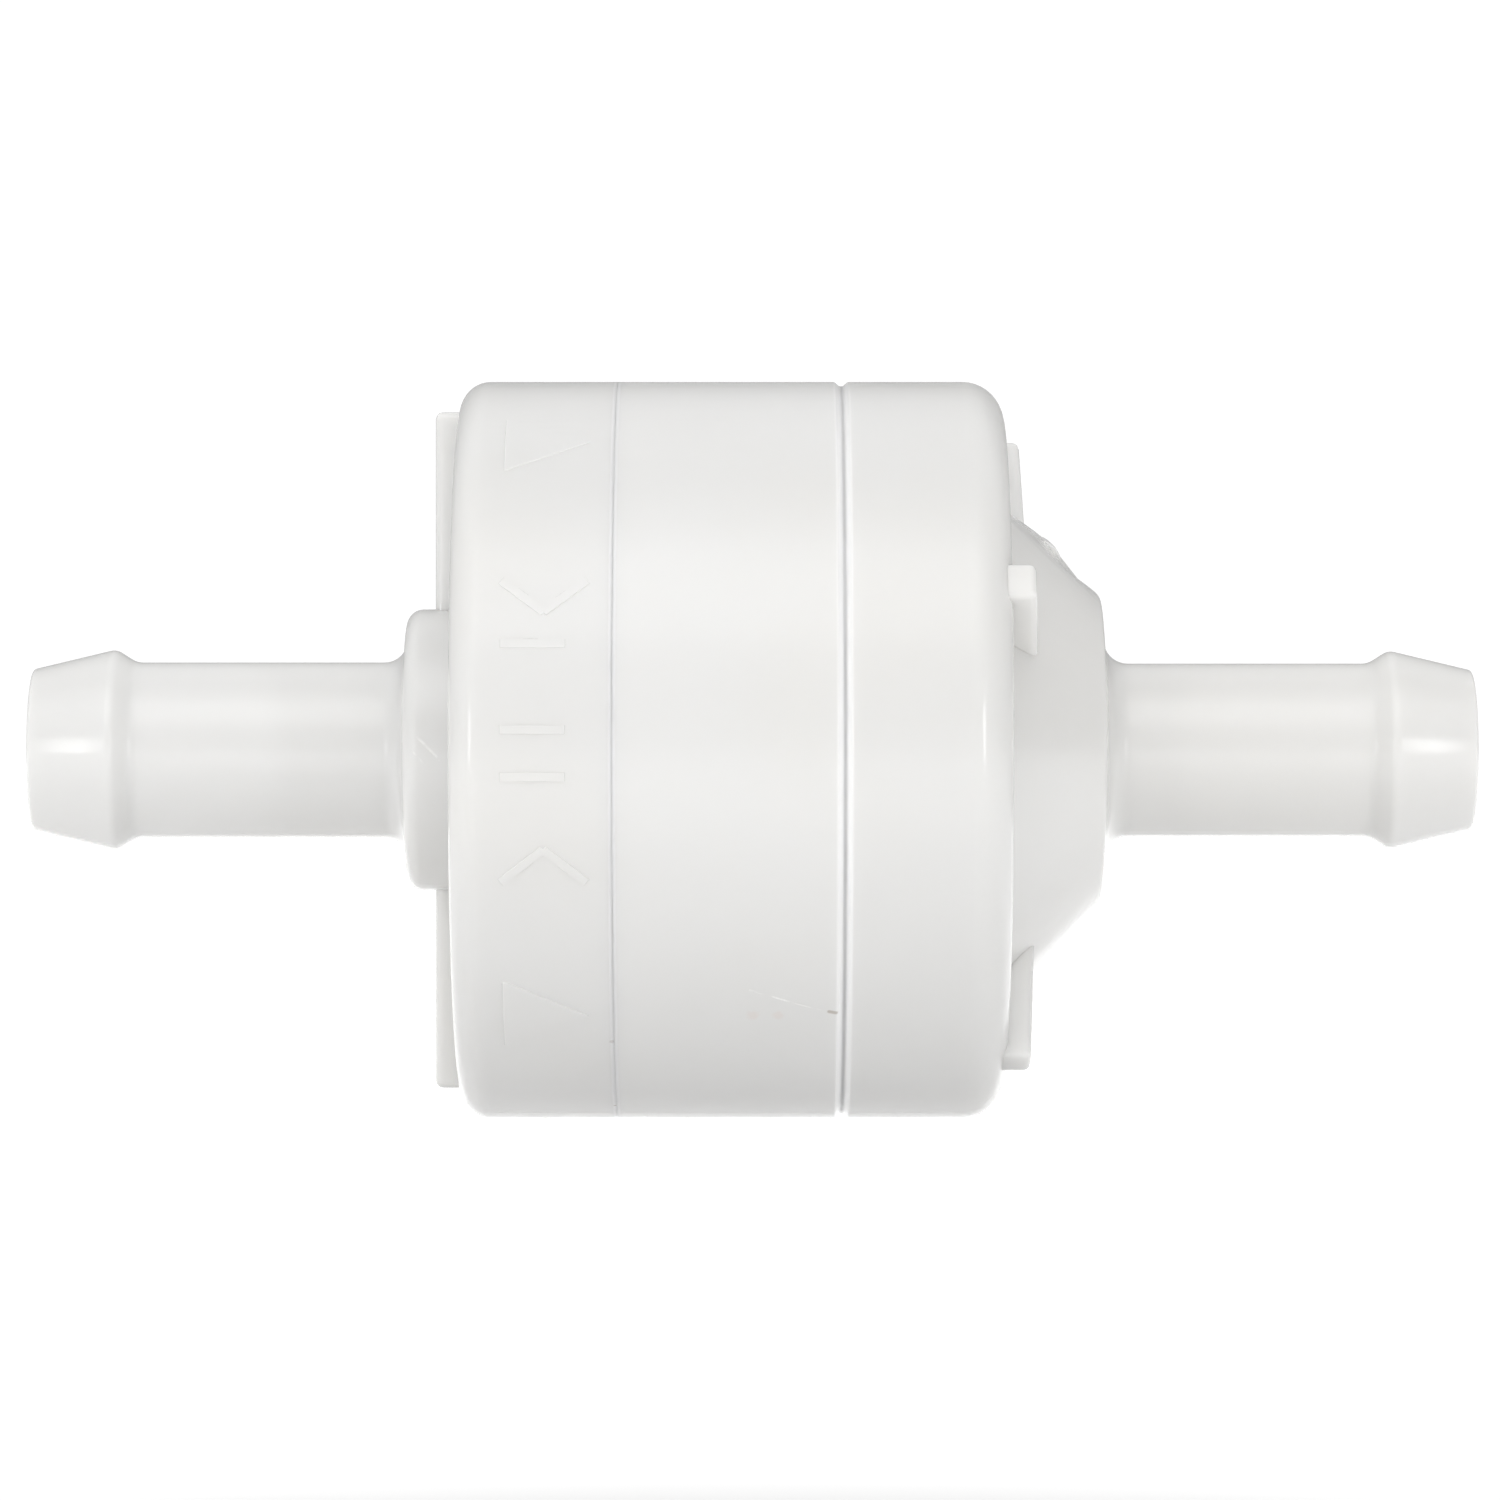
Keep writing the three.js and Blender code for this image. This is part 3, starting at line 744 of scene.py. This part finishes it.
def stroke(name, start, end, degrees):
    """A raised straight stroke between two (x, around) points."""
    half = bpy.context.scene.filter_ribs.stroke_width / 2
    start, end = Vector(start), Vector(end)
    across = (end - start).normalized().orthogonal() * half
    return raised_patch(name, lambda s: start.lerp(end, s) - across,
                        lambda s: start.lerp(end, s) + across, math.radians(degrees), rows=14, columns=2)


def cap_marks():
    """Two flow arrows, with plain strokes between them."""
    ribs = bpy.context.scene.filter_ribs
    half = ribs.mark_length / 2
    marks = [flow_arrow(f"arrow_{degrees}", degrees) for degrees in ARROW_ANGLES]
    marks += [stroke(f"bar_{degrees}", (-half, 0), (half / 2, 0), degrees) for degrees in BAR_ANGLES]
    for degrees in CHEVRON_ANGLES:
        tip = (0, -math.copysign(ribs.chevron_drop, degrees))
        for side in (-1, 1):
            marks.append(stroke(f"chevron_{side}_{degrees}", (side * half, 0), tip, degrees))
    return marks


def make_inlet_cap(size, ribs):
    face = FLUSH_SEAM - size.inlet_cap
    boss_face = face - size.boss_length
    chamber = DRUM_RADIUS - size.side_wall
    lip = chamber + size.lip_wall
    lip_end = FLUSH_SEAM + size.lip_length
    corners = [
        (face + size.end_wall, size.bore, 0.3 * MM),
        (face + size.end_wall, chamber, 0.8 * MM),
        (lip_end, chamber, 0.15 * MM),
        (lip_end, lip, 0.15 * MM),
        (FLUSH_SEAM, lip, 0),
        (FLUSH_SEAM, DRUM_RADIUS - size.seam_chamfer, 0),
        (FLUSH_SEAM - size.seam_chamfer, DRUM_RADIUS, 0.06 * MM),
        (face, DRUM_RADIUS, size.inlet_edge),
        (face, size.boss_radius, 0.25 * MM),
        (boss_face, size.boss_radius, size.boss_edge),
        (boss_face, size.inlet_shank, size.boss_neck),
        *fitting_corners(size, boss_face, INLET_TIP, size.inlet_shank, -1),
    ]
    cap = turned("moulded_inlet_cap", filleted(corners), size.facets)
    bars = drive_ribs(face, -1, 2, size.boss_radius - ribs.root, DRUM_RADIUS - ribs.inlet_inset,
                      ribs.inlet_height, ribs.inlet_height, ribs.inlet_tilt)
    return soften(combined(cap, bars + cap_marks(), "UNION"))


def groove_corners(size, side):
    """Corners of one side of the grooved seam, from the drum's side to the groove's bottom."""
    depth = size.groove_chamfer
    return [
        (GROOVE_SEAM + side * depth, DRUM_RADIUS, 0.1 * MM),
        (GROOVE_SEAM + side * depth * GROOVE_FOOT, DRUM_RADIUS - depth * GROOVE_SLOPE, 0.1 * MM),
        (GROOVE_SEAM, DRUM_RADIUS - depth * GROOVE_BOTTOM, 0),
    ]


def make_sleeve(size):
    chamber = DRUM_RADIUS - size.side_wall
    lip = chamber + size.lip_wall
    lip_end = GROOVE_SEAM + size.lip_length
    counter = FLUSH_SEAM + size.lip_length + size.lip_end_gap
    corners = [
        (counter, chamber, 0.1 * MM),
        (counter, lip + size.lip_gap, 0.1 * MM),
        (FLUSH_SEAM, lip + size.lip_gap, 0),
        (FLUSH_SEAM, DRUM_RADIUS - size.seam_chamfer, 0),
        (FLUSH_SEAM + size.seam_chamfer, DRUM_RADIUS, 0.06 * MM),
        *groove_corners(size, -1),
        (GROOVE_SEAM, lip, 0),
        (lip_end, lip, 0.15 * MM),
        (lip_end, chamber, 0.15 * MM),
    ]
    return soften(turned("moulded_centre_sleeve", filleted(corners), size.facets))


def gate_body(name, size, ribs, points, reach, width, rounding=0.0):
    """A body over part of the hub's cone. Points are (share of the cone's length, height in mm off
    the cone), and it reaches out or in from them to the given height."""
    face = GROOVE_SEAM + size.outlet_cap
    outline = []
    for share, height in (*points, (points[-1][0], reach), (points[0][0], reach)):
        on_cone = size.hub_base + (size.hub_top - size.hub_base) * share
        outline.append((face + size.hub_cone * share, on_cone + height * MM))
    body = prism(name, outline, width, rounding)
    return placed(body, Matrix.Rotation(math.pi - ribs.gate_angle, 4, "X"))


def torn_stub(size, ribs):
    """The low ragged stub that is left where the gate was trimmed off the hub's cone."""
    tear_scale, tear_depth = 1300, 0.03 * MM
    stub = gate_body("gate_stub", size, ribs, GATE_STUB, GATE_ROOT, ribs.gate_stub, 0.04 * MM)
    work = bmesh.new()
    work.from_mesh(stub.data)
    bmesh.ops.triangulate(work, faces=work.faces)
    bmesh.ops.subdivide_edges(work, edges=work.edges, cuts=1, use_grid_fill=True)
    for vertex in work.verts:
        vertex.co += noise.noise_vector(vertex.co * tear_scale) * tear_depth
    work.to_mesh(stub.data)
    work.free()
    return stub


def make_outlet_cap(size, ribs, cartridge):
    face = GROOVE_SEAM + size.outlet_cap
    chamber = DRUM_RADIUS - size.side_wall
    counter = GROOVE_SEAM + size.lip_length + size.lip_end_gap
    counter_radius = chamber + size.lip_wall + size.lip_gap
    chamber_end = face - size.end_wall
    socket = cartridge.spigot + cartridge.socket_gap
    socket_end = OPEN_HIGH.x + cartridge.socket_end_gap
    neck = face + size.hub_cone + size.hub_crown
    corners = [
        (socket_end, size.bore, 0.2 * MM),
        (socket_end, socket, 0.3 * MM),
        (chamber_end, socket, 0.2 * MM),
        (chamber_end, chamber, 0.8 * MM),
        (counter, chamber, 0.1 * MM),
        (counter, counter_radius, 0.1 * MM),
        (GROOVE_SEAM, counter_radius, 0),
        *reversed(groove_corners(size, 1)),
        (face, DRUM_RADIUS, size.outlet_edge),
        (face, size.hub_base, 0.4 * MM),
        (face + size.hub_cone, size.hub_top, 0.45 * MM),
        (neck, size.outlet_shank, size.hub_neck),
        *fitting_corners(size, neck, OUTLET_TIP, size.outlet_shank, 1),
    ]
    cap = turned("moulded_outlet_cap", filleted(corners), size.facets)
    bars = drive_ribs(face, 1, 4, size.hub_top, DRUM_RADIUS - ribs.outlet_inset,
                      ribs.outlet_height + ribs.outlet_rise, ribs.outlet_height, ribs.outlet_tilt)
    cuts = [gate_body("gate_cut", size, ribs, points, GATE_REACH, ribs.gate_cut)
            for points in (GATE_FLAT, GATE_SCOOP)]
    combined(cap, cuts, "DIFFERENCE")
    return soften(combined(cap, [*bars, torn_stub(size, ribs)], "UNION"))


# ---------------------------------------------------------------- cartridge pieces

def make_closed_disc(size):
    front = CLOSED_LOW.x + size.nub_height + size.disc
    seat = CORE_HIGH.z - size.core_wall - size.seat_gap
    corners = [
        (PAPER_LOW.x, 0, 0),
        (PAPER_LOW.x, seat, 0.2 * MM),
        (front, seat, 0.15 * MM),
        (front, DISC_RADIUS - size.rim, 0.2 * MM),
        (CLOSED_HIGH.x, DISC_RADIUS - size.rim, 0.15 * MM),
        (CLOSED_HIGH.x, DISC_RADIUS, 0.15 * MM),
        (front - size.disc, DISC_RADIUS, 0.3 * MM),
        (front - size.disc, 0, 0),
    ]
    disc = turned("closed_disc", filleted(corners), CARTRIDGE_FACETS)
    nubs = []
    nub_end = CLOSED_LOW.x + size.nub_height + size.disc / 2
    nub_corners = [(CLOSED_LOW.x, 0, 0), (CLOSED_LOW.x, size.nub_radius, 0.2 * MM),
                   (nub_end, size.nub_radius, 0), (nub_end, 0, 0)]
    for i in range(4):
        nub = turned(f"nub_{i}", filleted(nub_corners), NUB_FACETS)
        out = Matrix.Translation((0, 0, DISC_RADIUS - size.nub_inset))
        nubs.append(placed(nub, Matrix.Rotation(math.pi / 2 * (i + 0.5), 4, "X") @ out))
    return soften(combined(disc, nubs, "UNION"))


def make_open_disc(size):
    front = PAPER_HIGH.x + size.potting
    chamber_end = front + size.disc + size.pad_height
    seat = CORE_HIGH.z - size.core_wall - size.seat_gap
    bore = size.spigot - size.spigot_wall
    groove = size.spigot + size.socket_gap - size.seal
    groove_room = 0.05 * MM
    groove_low, groove_high = SEAL_LOW.x - groove_room, SEAL_HIGH.x + groove_room
    corners = [
        (PAPER_HIGH.x, bore, 0.2 * MM),
        (PAPER_HIGH.x, seat, 0.2 * MM),
        (front, seat, 0.15 * MM),
        (front, DISC_RADIUS - size.rim, 0.2 * MM),
        (OPEN_LOW.x, DISC_RADIUS - size.rim, 0.15 * MM),
        (OPEN_LOW.x, DISC_RADIUS, 0.15 * MM),
        (front + size.disc, DISC_RADIUS, 0.3 * MM),
        (front + size.disc, size.pad_radius, 0.2 * MM),
        (chamber_end, size.pad_radius, 0.15 * MM),
        (chamber_end, size.spigot, 0.15 * MM),
        (groove_low, size.spigot, 0.06 * MM),
        (groove_low, groove, 0.1 * MM),
        (groove_high, groove, 0.1 * MM),
        (groove_high, size.spigot, 0.06 * MM),
        (OPEN_HIGH.x, size.spigot, 0.3 * MM),
        (OPEN_HIGH.x, bore, 0.2 * MM),
    ]
    return soften(turned("open_disc", filleted(corners), CARTRIDGE_FACETS))


def pleat_line(size):
    """The middle line of the folded paper in the (y, z) plane, one crest on +Z."""
    pitch = math.pi / size.pleats
    crest_centre = PAPER_HIGH.z - size.paper / 2 - size.crest / 2
    valley_centre = CORE_HIGH.z + 0.2 * MM + size.paper / 2 + size.valley / 2
    points = []
    steps = 8
    for i in range(size.pleats):
        for centre_radius, radius, turn_to, start, sweep in (
            (crest_centre, size.crest / 2, 2 * pitch * i, -math.pi / 2, math.pi),
            (valley_centre, size.valley / 2, 2 * pitch * i + pitch, -math.pi / 2, -math.pi),
        ):
            outward = Vector((math.sin(turn_to), math.cos(turn_to)))
            sideways = Vector((math.cos(turn_to), -math.sin(turn_to)))
            for k in range(steps + 1):
                angle = start + sweep * k / steps
                points.append(outward * (centre_radius + radius * math.cos(angle))
                              + sideways * radius * math.sin(angle))
    return points


def make_paper(size):
    line = pleat_line(size)
    count = len(line)
    sections = 14
    work = bmesh.new()
    rows = []
    for s in range(sections + 1):
        x = PAPER_LOW.x + (PAPER_HIGH.x - PAPER_LOW.x) * s / sections
        fade = math.sin(math.pi * s / sections)
        row = []
        for i, point in enumerate(line):
            along = (line[(i + 1) % count] - line[i - 1]).normalized()
            normal = Vector((along.y, -along.x))
            wave = noise.noise(Vector((x * 260, point.x * 260, point.y * 260))) * 0.06 * MM * fade
            for side in (0.5, -0.5):
                place = point + normal * (size.paper * side + wave)
                row.append(work.verts.new((x, place.x, place.y)))
        rows.append(row)
    for s in range(sections):
        for i in range(count):
            j = (i + 1) % count
            for offset in (0, 1):
                a, b = 2 * i + offset, 2 * j + offset
                work.faces.new([rows[s][a], rows[s][b], rows[s + 1][b], rows[s + 1][a]])
    for row in (rows[0], rows[-1]):
        for i in range(count):
            j = (i + 1) % count
            work.faces.new([row[2 * i], row[2 * j], row[2 * j + 1], row[2 * i + 1]])
    return soften(from_bmesh("folded_paper", work), 50)


def make_core(size):
    outer, inner = CORE_HIGH.z, CORE_HIGH.z - size.core_wall
    corners = [(CORE_LOW.x, inner, 0.1 * MM), (CORE_LOW.x, outer, 0.1 * MM),
               (CORE_HIGH.x, outer, 0.1 * MM), (CORE_HIGH.x, inner, 0.1 * MM)]
    tube = turned("core_cage", filleted(corners), CARTRIDGE_FACETS)
    rows, windows = 3, 8
    pitch = (PAPER_HIGH.x - PAPER_LOW.x) / rows
    half_x, half_y = (pitch - size.window_gap) / 2, size.window_width / 2
    signs = ((-1, -1), (1, -1), (1, 1), (-1, 1))
    outline = filleted([(x * half_x, y * half_y, 0.3 * MM) for x, y in signs])
    cutters = []
    for row in range(rows):
        for i in range(windows // 2):
            cutter = prism(f"window_{row}_{i}", outline, outer * 3)
            place = Matrix.Translation((PAPER_LOW.x + pitch * (row + 0.5), 0, 0))
            cutters.append(placed(cutter, place @ Matrix.Rotation(2 * math.pi * i / windows, 4, "X")))
    return soften(combined(tube, cutters, "DIFFERENCE"))


def make_potting(name, node):
    low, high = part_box(node)
    core_clearance = 0.1 * MM
    inner, outer = CORE_HIGH.z + core_clearance, high.z
    soft = 0.25 * MM
    corners = [(low.x, inner, soft), (low.x, outer, soft), (high.x, outer, soft), (high.x, inner, soft)]
    return soften(turned(name, filleted(corners), CARTRIDGE_FACETS), 60)


def make_clip(size):
    """A channel folded over the top pleat."""
    half_out = CLIP_HIGH.y
    half_in = half_out - size.clip
    web = CLIP_HIGH.z
    bend = 0.3 * MM
    corners = [
        (-half_out, CLIP_LOW.z, 0.1 * MM), (-half_in, CLIP_LOW.z, 0.1 * MM),
        (-half_in, web - size.clip, 0.08 * MM), (half_in, web - size.clip, 0.08 * MM),
        (half_in, CLIP_LOW.z, 0.1 * MM), (half_out, CLIP_LOW.z, 0.1 * MM),
        (half_out, web, bend), (-half_out, web, bend),
    ]
    clip = prism("folded_clip", filleted(corners), CLIP_HIGH.x - CLIP_LOW.x)
    middle = Matrix.Translation(((CLIP_LOW.x + CLIP_HIGH.x) / 2, 0, 0))
    upright = Matrix.Rotation(math.pi / 2, 4, "Z") @ Matrix.Rotation(math.pi / 2, 4, "X")
    return soften(placed(clip, middle @ upright))


def make_seal(size):
    middle_x = (SEAL_LOW.x + SEAL_HIGH.x) / 2
    middle_r = SEAL_HIGH.z - size.seal / 2
    steps = 28
    ring = [Vector((middle_x + size.seal / 2 * math.cos(2 * math.pi * k / steps),
                    middle_r + size.seal / 2 * math.sin(2 * math.pi * k / steps))) for k in range(steps)]
    return soften(turned("seal_ring", ring, CARTRIDGE_FACETS), 80)


# ---------------------------------------------------------------- operators

class FILTER_OT_inlet_cap(bpy.types.Operator):
    """Builds the inlet cap with its fitting, boss, drive ribs and raised marks."""

    bl_idname = "fuel_filter.inlet_cap"
    bl_label = "Inlet cap"

    def execute(self, context):
        scene = context.scene
        cap = make_inlet_cap(scene.filter_housing, scene.filter_ribs)
        boss = scene.filter_housing.boss_radius
        dirt = scene.filter_colours.dirt
        finish = milky_nylon(
            "inlet_cap_nylon", scene.filter_colours.housing[:],
            seams=[(FLUSH_SEAM, 0.07 * MM, 0.3, *DIRTY_ARC)],
            # Painted light: a paler band along the flush seam lifts the shade in the seam.
            painted_light_rims=[(FLUSH_SEAM, 0.16 * MM, 0.8)],
            specks=[
                (on_drum(-5.0, -50), 0.13 * MM, 0.3, dirt),
                (on_drum(-4.98, -72), 0.1 * MM, 0.5, dirt),
            ],
            scratches=[
                (on_drum(-12.1, 5, boss), on_drum(-11.3, -4, boss), 0.07 * MM, 0.6),
                (on_drum(-12.25, -1, boss), on_drum(-11.9, -5, boss), 0.05 * MM, 0.5),
            ],
        )
        settle(cap, finish, "inlet_cap")
        return {"FINISHED"}


class FILTER_OT_centre_sleeve(bpy.types.Operator):
    """Builds the centre sleeve between the two welded seams."""

    bl_idname = "fuel_filter.centre_sleeve"
    bl_label = "Centre sleeve"

    def execute(self, context):
        scene = context.scene
        dirt, smudge = scene.filter_colours.dirt, scene.filter_colours.smudge
        finish = milky_nylon(
            "sleeve_nylon", scene.filter_colours.sleeve[:],
            seams=[(FLUSH_SEAM, 0.06 * MM, 0.25, *DIRTY_ARC)],
            # Painted light: paler bands along the flush seam and in the grooved seam lift the shade in
            # them.
            painted_light_rims=[(FLUSH_SEAM, 0.16 * MM, 0.8), (GROOVE_SEAM, 0.34 * MM, 0.8)],
            specks=[
                (on_drum(3.22, -24.6), 0.09 * MM, 0.8, dirt),
                (on_drum(3.22, -30.2), 0.11 * MM, 0.8, dirt),
                (on_drum(0.0, -44), 0.3 * MM, 0.14, smudge),
                (on_drum(0.9, -44), 0.28 * MM, 0.14, smudge),
            ],
            scratches=[
                (on_drum(-0.09, -38.8), on_drum(1.5, -41.4), 0.06 * MM, 0.8),
                (on_drum(1.4, -41.3), on_drum(2.4, -42.8), 0.05 * MM, 0.5),
            ],
            stains=[(on_drum(2.72, -43.2), on_drum(2.96, -43.45), 0.11 * MM, 0.4)],
        )
        settle(make_sleeve(scene.filter_housing), finish, "centre_sleeve")
        return {"FINISHED"}


class FILTER_OT_outlet_cap(bpy.types.Operator):
    """Builds the outlet cap with its hub, fitting, drive ribs and gate scar."""

    bl_idname = "fuel_filter.outlet_cap"
    bl_label = "Outlet cap"

    def execute(self, context):
        scene = context.scene
        cap = make_outlet_cap(scene.filter_housing, scene.filter_ribs, scene.filter_cartridge)
        dirt = scene.filter_colours.dirt
        finish = milky_nylon(
            "outlet_cap_nylon", scene.filter_colours.housing[:],
            # Painted light: a paler band in the grooved seam lifts the shade in the groove.
            painted_light_rims=[(GROOVE_SEAM, 0.34 * MM, 0.8)],
            specks=[
                (on_drum(3.28, -24.6), 0.09 * MM, 0.8, dirt),
                (on_drum(3.28, -30.2), 0.11 * MM, 0.8, dirt),
                (on_drum(9.9, -45.8, 8.3 * MM), 0.12 * MM, 0.8, dirt),
            ],
            rough_spots=[(on_drum(11.1, 84, 7.6 * MM), 2.2 * MM)],
        )
        settle(cap, finish, "outlet_cap")
        return {"FINISHED"}


class FILTER_OT_end_discs(bpy.types.Operator):
    """Builds the cartridge's two end discs."""

    bl_idname = "fuel_filter.end_discs"
    bl_label = "End discs"

    def execute(self, context):
        size = context.scene.filter_cartridge
        finish = natural_plastic()
        settle(make_closed_disc(size), finish, "closed_end_disc")
        settle(make_open_disc(size), finish, "open_end_disc")
        return {"FINISHED"}


class FILTER_OT_paper(bpy.types.Operator):
    """Builds the pleated filter paper."""

    bl_idname = "fuel_filter.paper"
    bl_label = "Pleated paper"

    def execute(self, context):
        paper = make_paper(context.scene.filter_cartridge)
        settle(paper, filter_paper(), "pleated_paper")
        return {"FINISHED"}


class FILTER_OT_core(bpy.types.Operator):
    """Builds the windowed core tube."""

    bl_idname = "fuel_filter.core"
    bl_label = "Core tube"

    def execute(self, context):
        core = make_core(context.scene.filter_cartridge)
        settle(core, natural_plastic(), "core_tube")
        return {"FINISHED"}


class FILTER_OT_potting(bpy.types.Operator):
    """Builds the two adhesive rings that bond the paper to its end discs."""

    bl_idname = "fuel_filter.potting"
    bl_label = "Potting rings"

    def execute(self, context):
        finish = cured_adhesive()
        for name, node in (("closed_potting_ring", "closed_end_potting"),
                           ("open_potting_ring", "open_end_potting")):
            settle(make_potting(name, node), finish, node)
        return {"FINISHED"}


class FILTER_OT_clip(bpy.types.Operator):
    """Builds the metal clip that closes the pleated strip."""

    bl_idname = "fuel_filter.clip"
    bl_label = "Seam clip"

    def execute(self, context):
        clip = make_clip(context.scene.filter_cartridge)
        settle(clip, strip_steel(), "pleat_seam_clip")
        return {"FINISHED"}


class FILTER_OT_seal(bpy.types.Operator):
    """Builds the rubber ring on the outlet spigot."""

    bl_idname = "fuel_filter.seal"
    bl_label = "Spigot seal"

    def execute(self, context):
        seal = make_seal(context.scene.filter_cartridge)
        settle(seal, seal_rubber(), "spigot_seal")
        return {"FINISHED"}


# ---------------------------------------------------------------- stage

def softbox(name, azimuth, elevation, distance, width, height, watts):
    """A rectangular soft light that faces the filter."""
    data = bpy.data.lights.new(name, "AREA")
    data.shape = "RECTANGLE"
    data.size, data.size_y = width, height
    data.energy = watts
    lamp = bpy.data.objects.new(name, data)
    a, e = math.radians(azimuth), math.radians(elevation)
    back = Vector((math.sin(a) * math.cos(e), -math.cos(a) * math.cos(e), math.sin(e)))
    lamp.location = back * distance
    lamp.rotation_euler = back.to_track_quat("Z", "Y").to_euler()
    bpy.context.scene.collection.objects.link(lamp)


def white_surroundings(scene):
    """White to the camera. As light it is strongest from above, soft from the front and weaker on
    the outlet side."""
    world = bpy.data.worlds.new("white_surroundings")
    world.use_nodes = True
    nodes = Nodes(world.node_tree, "Generated")
    x, y, z = nodes.split(nodes.place)
    seen = world.node_tree.nodes.new("ShaderNodeLightPath").outputs["Is Camera Ray"]
    behind = nodes.ease(y, 0.0, 0.45)
    in_front = nodes.maths("SUBTRACT", 1.0, behind)
    towards = nodes.vector("DOT_PRODUCT", nodes.place, (0.0, -0.954, 0.3))
    lobe = nodes.ease(towards, 0.2, 1.0, 0.0, 0.4)
    front = nodes.maths("ADD", nodes.maths("MULTIPLY_ADD", x, -0.13, 0.295), lobe)
    level = nodes.maths("MULTIPLY_ADD", behind, 0.42, nodes.maths("MULTIPLY", in_front, front))
    level = nodes.maths("MULTIPLY", level, nodes.ease(z, 0.3, 0.95, 1.0, 2.7))
    level = nodes.maths("MAXIMUM", level, nodes.maths("MULTIPLY", seen, 1.05))
    background = world.node_tree.nodes["Background"]
    background.inputs["Color"].default_value = (1, 1, 1, 1)
    nodes.wire(background.inputs["Strength"], level)
    scene.world = world


class FILTER_OT_stage(bpy.types.Operator):
    """Sets up the camera, the pale floor with a painted shadow pooled under the filter and a painted glow
    further out, the soft lights and the white surroundings.
    """

    bl_idname = "fuel_filter.stage"
    bl_label = "Stage"

    def execute(self, context):
        scene = context.scene
        scene.view_settings.view_transform = "Standard"
        scene.view_settings.look = "None"

        camera_data = bpy.data.cameras.new("camera")
        camera_data.sensor_width = 36.0
        camera_data.lens = CAMERA_LENS
        camera_data.clip_start = 0.01
        camera = bpy.data.objects.new("camera", camera_data)
        camera.location = Vector(CAMERA_PLACE) * MM
        camera.rotation_euler = (math.radians(90), 0, 0)
        scene.collection.objects.link(camera)
        scene.camera = camera

        work = bmesh.new()
        bmesh.ops.create_grid(work, x_segments=8, y_segments=8, size=3.0)
        floor = from_bmesh("floor", work)
        floor.location.z = CAD_BOX[0].z - FLOOR_DROP * MM
        shader = Shader("floor_painted_shadow_and_glow")
        x, y, _z = shader.split(shader.place)
        # Painted shadow: the floor is darker in a pool under the filter, fading out by 34 mm from its
        # middle.
        away = shader.vector("LENGTH", shader.join(x, y, 0.0))
        tone = shader.mix(shader.ease(away, 6 * MM, 34 * MM), tinted(scene.filter_colours.stage, 0.55),
                          scene.filter_colours.stage)
        mottle = shader.ease(shader.noise(40, 2), 0.3, 0.7, 0.86, 0.94)
        # Painted light: the floor glows, from nothing 42 mm out from under the filter to full strength at
        # 105 mm.
        shader.set(Base_Color=tone, Roughness=mottle, Emission_Color=(1.0, 1.0, 1.0, 1.0),
                   Emission_Strength=shader.ease(away, 42 * MM, 105 * MM, 0.0, 0.6))
        floor.data.materials.append(shader.material)

        for row in SOFTBOXES:
            softbox(*row)
        white_surroundings(scene)
        return {"FINISHED"}


class FILTER_PT_panel(bpy.types.Panel):
    """Lists the filter's sizes, colours and operators."""

    bl_idname = "FILTER_PT_panel"
    bl_label = "Inline fuel filter"
    bl_space_type = "VIEW_3D"
    bl_region_type = "UI"
    bl_category = "Fuel filter"

    def draw(self, context):
        for operator in OPERATORS:
            self.layout.operator(operator.bl_idname)
        for name in GROUPS:
            group = getattr(context.scene, name)
            box = self.layout.box()
            for prop in group.bl_rna.properties:
                if prop.identifier not in ("rna_type", "name"):
                    box.prop(group, prop.identifier)


OPERATORS = (
    FILTER_OT_stage, FILTER_OT_inlet_cap, FILTER_OT_centre_sleeve, FILTER_OT_outlet_cap,
    FILTER_OT_end_discs, FILTER_OT_paper, FILTER_OT_core, FILTER_OT_potting,
    FILTER_OT_clip, FILTER_OT_seal,
)
GROUPS = {
    "filter_housing": FilterHousing,
    "filter_ribs": FilterRibs,
    "filter_cartridge": FilterCartridge,
    "filter_colours": FilterColours,
}


def register():
    for name, group in GROUPS.items():
        bpy.utils.register_class(group)
        setattr(bpy.types.Scene, name, PointerProperty(type=group))
    for operator in OPERATORS:
        bpy.utils.register_class(operator)
    bpy.utils.register_class(FILTER_PT_panel)


def unregister():
    bpy.utils.unregister_class(FILTER_PT_panel)
    for operator in reversed(OPERATORS):
        bpy.utils.unregister_class(operator)
    for name, group in reversed(GROUPS.items()):
        delattr(bpy.types.Scene, name)
        bpy.utils.unregister_class(group)


def main():
    register()
    bpy.ops.fuel_filter.stage()
    bpy.ops.fuel_filter.inlet_cap()
    bpy.ops.fuel_filter.centre_sleeve()
    bpy.ops.fuel_filter.outlet_cap()
    bpy.ops.fuel_filter.end_discs()
    bpy.ops.fuel_filter.paper()
    bpy.ops.fuel_filter.core()
    bpy.ops.fuel_filter.potting()
    bpy.ops.fuel_filter.clip()
    bpy.ops.fuel_filter.seal()


if __name__ == "__main__":
    main()
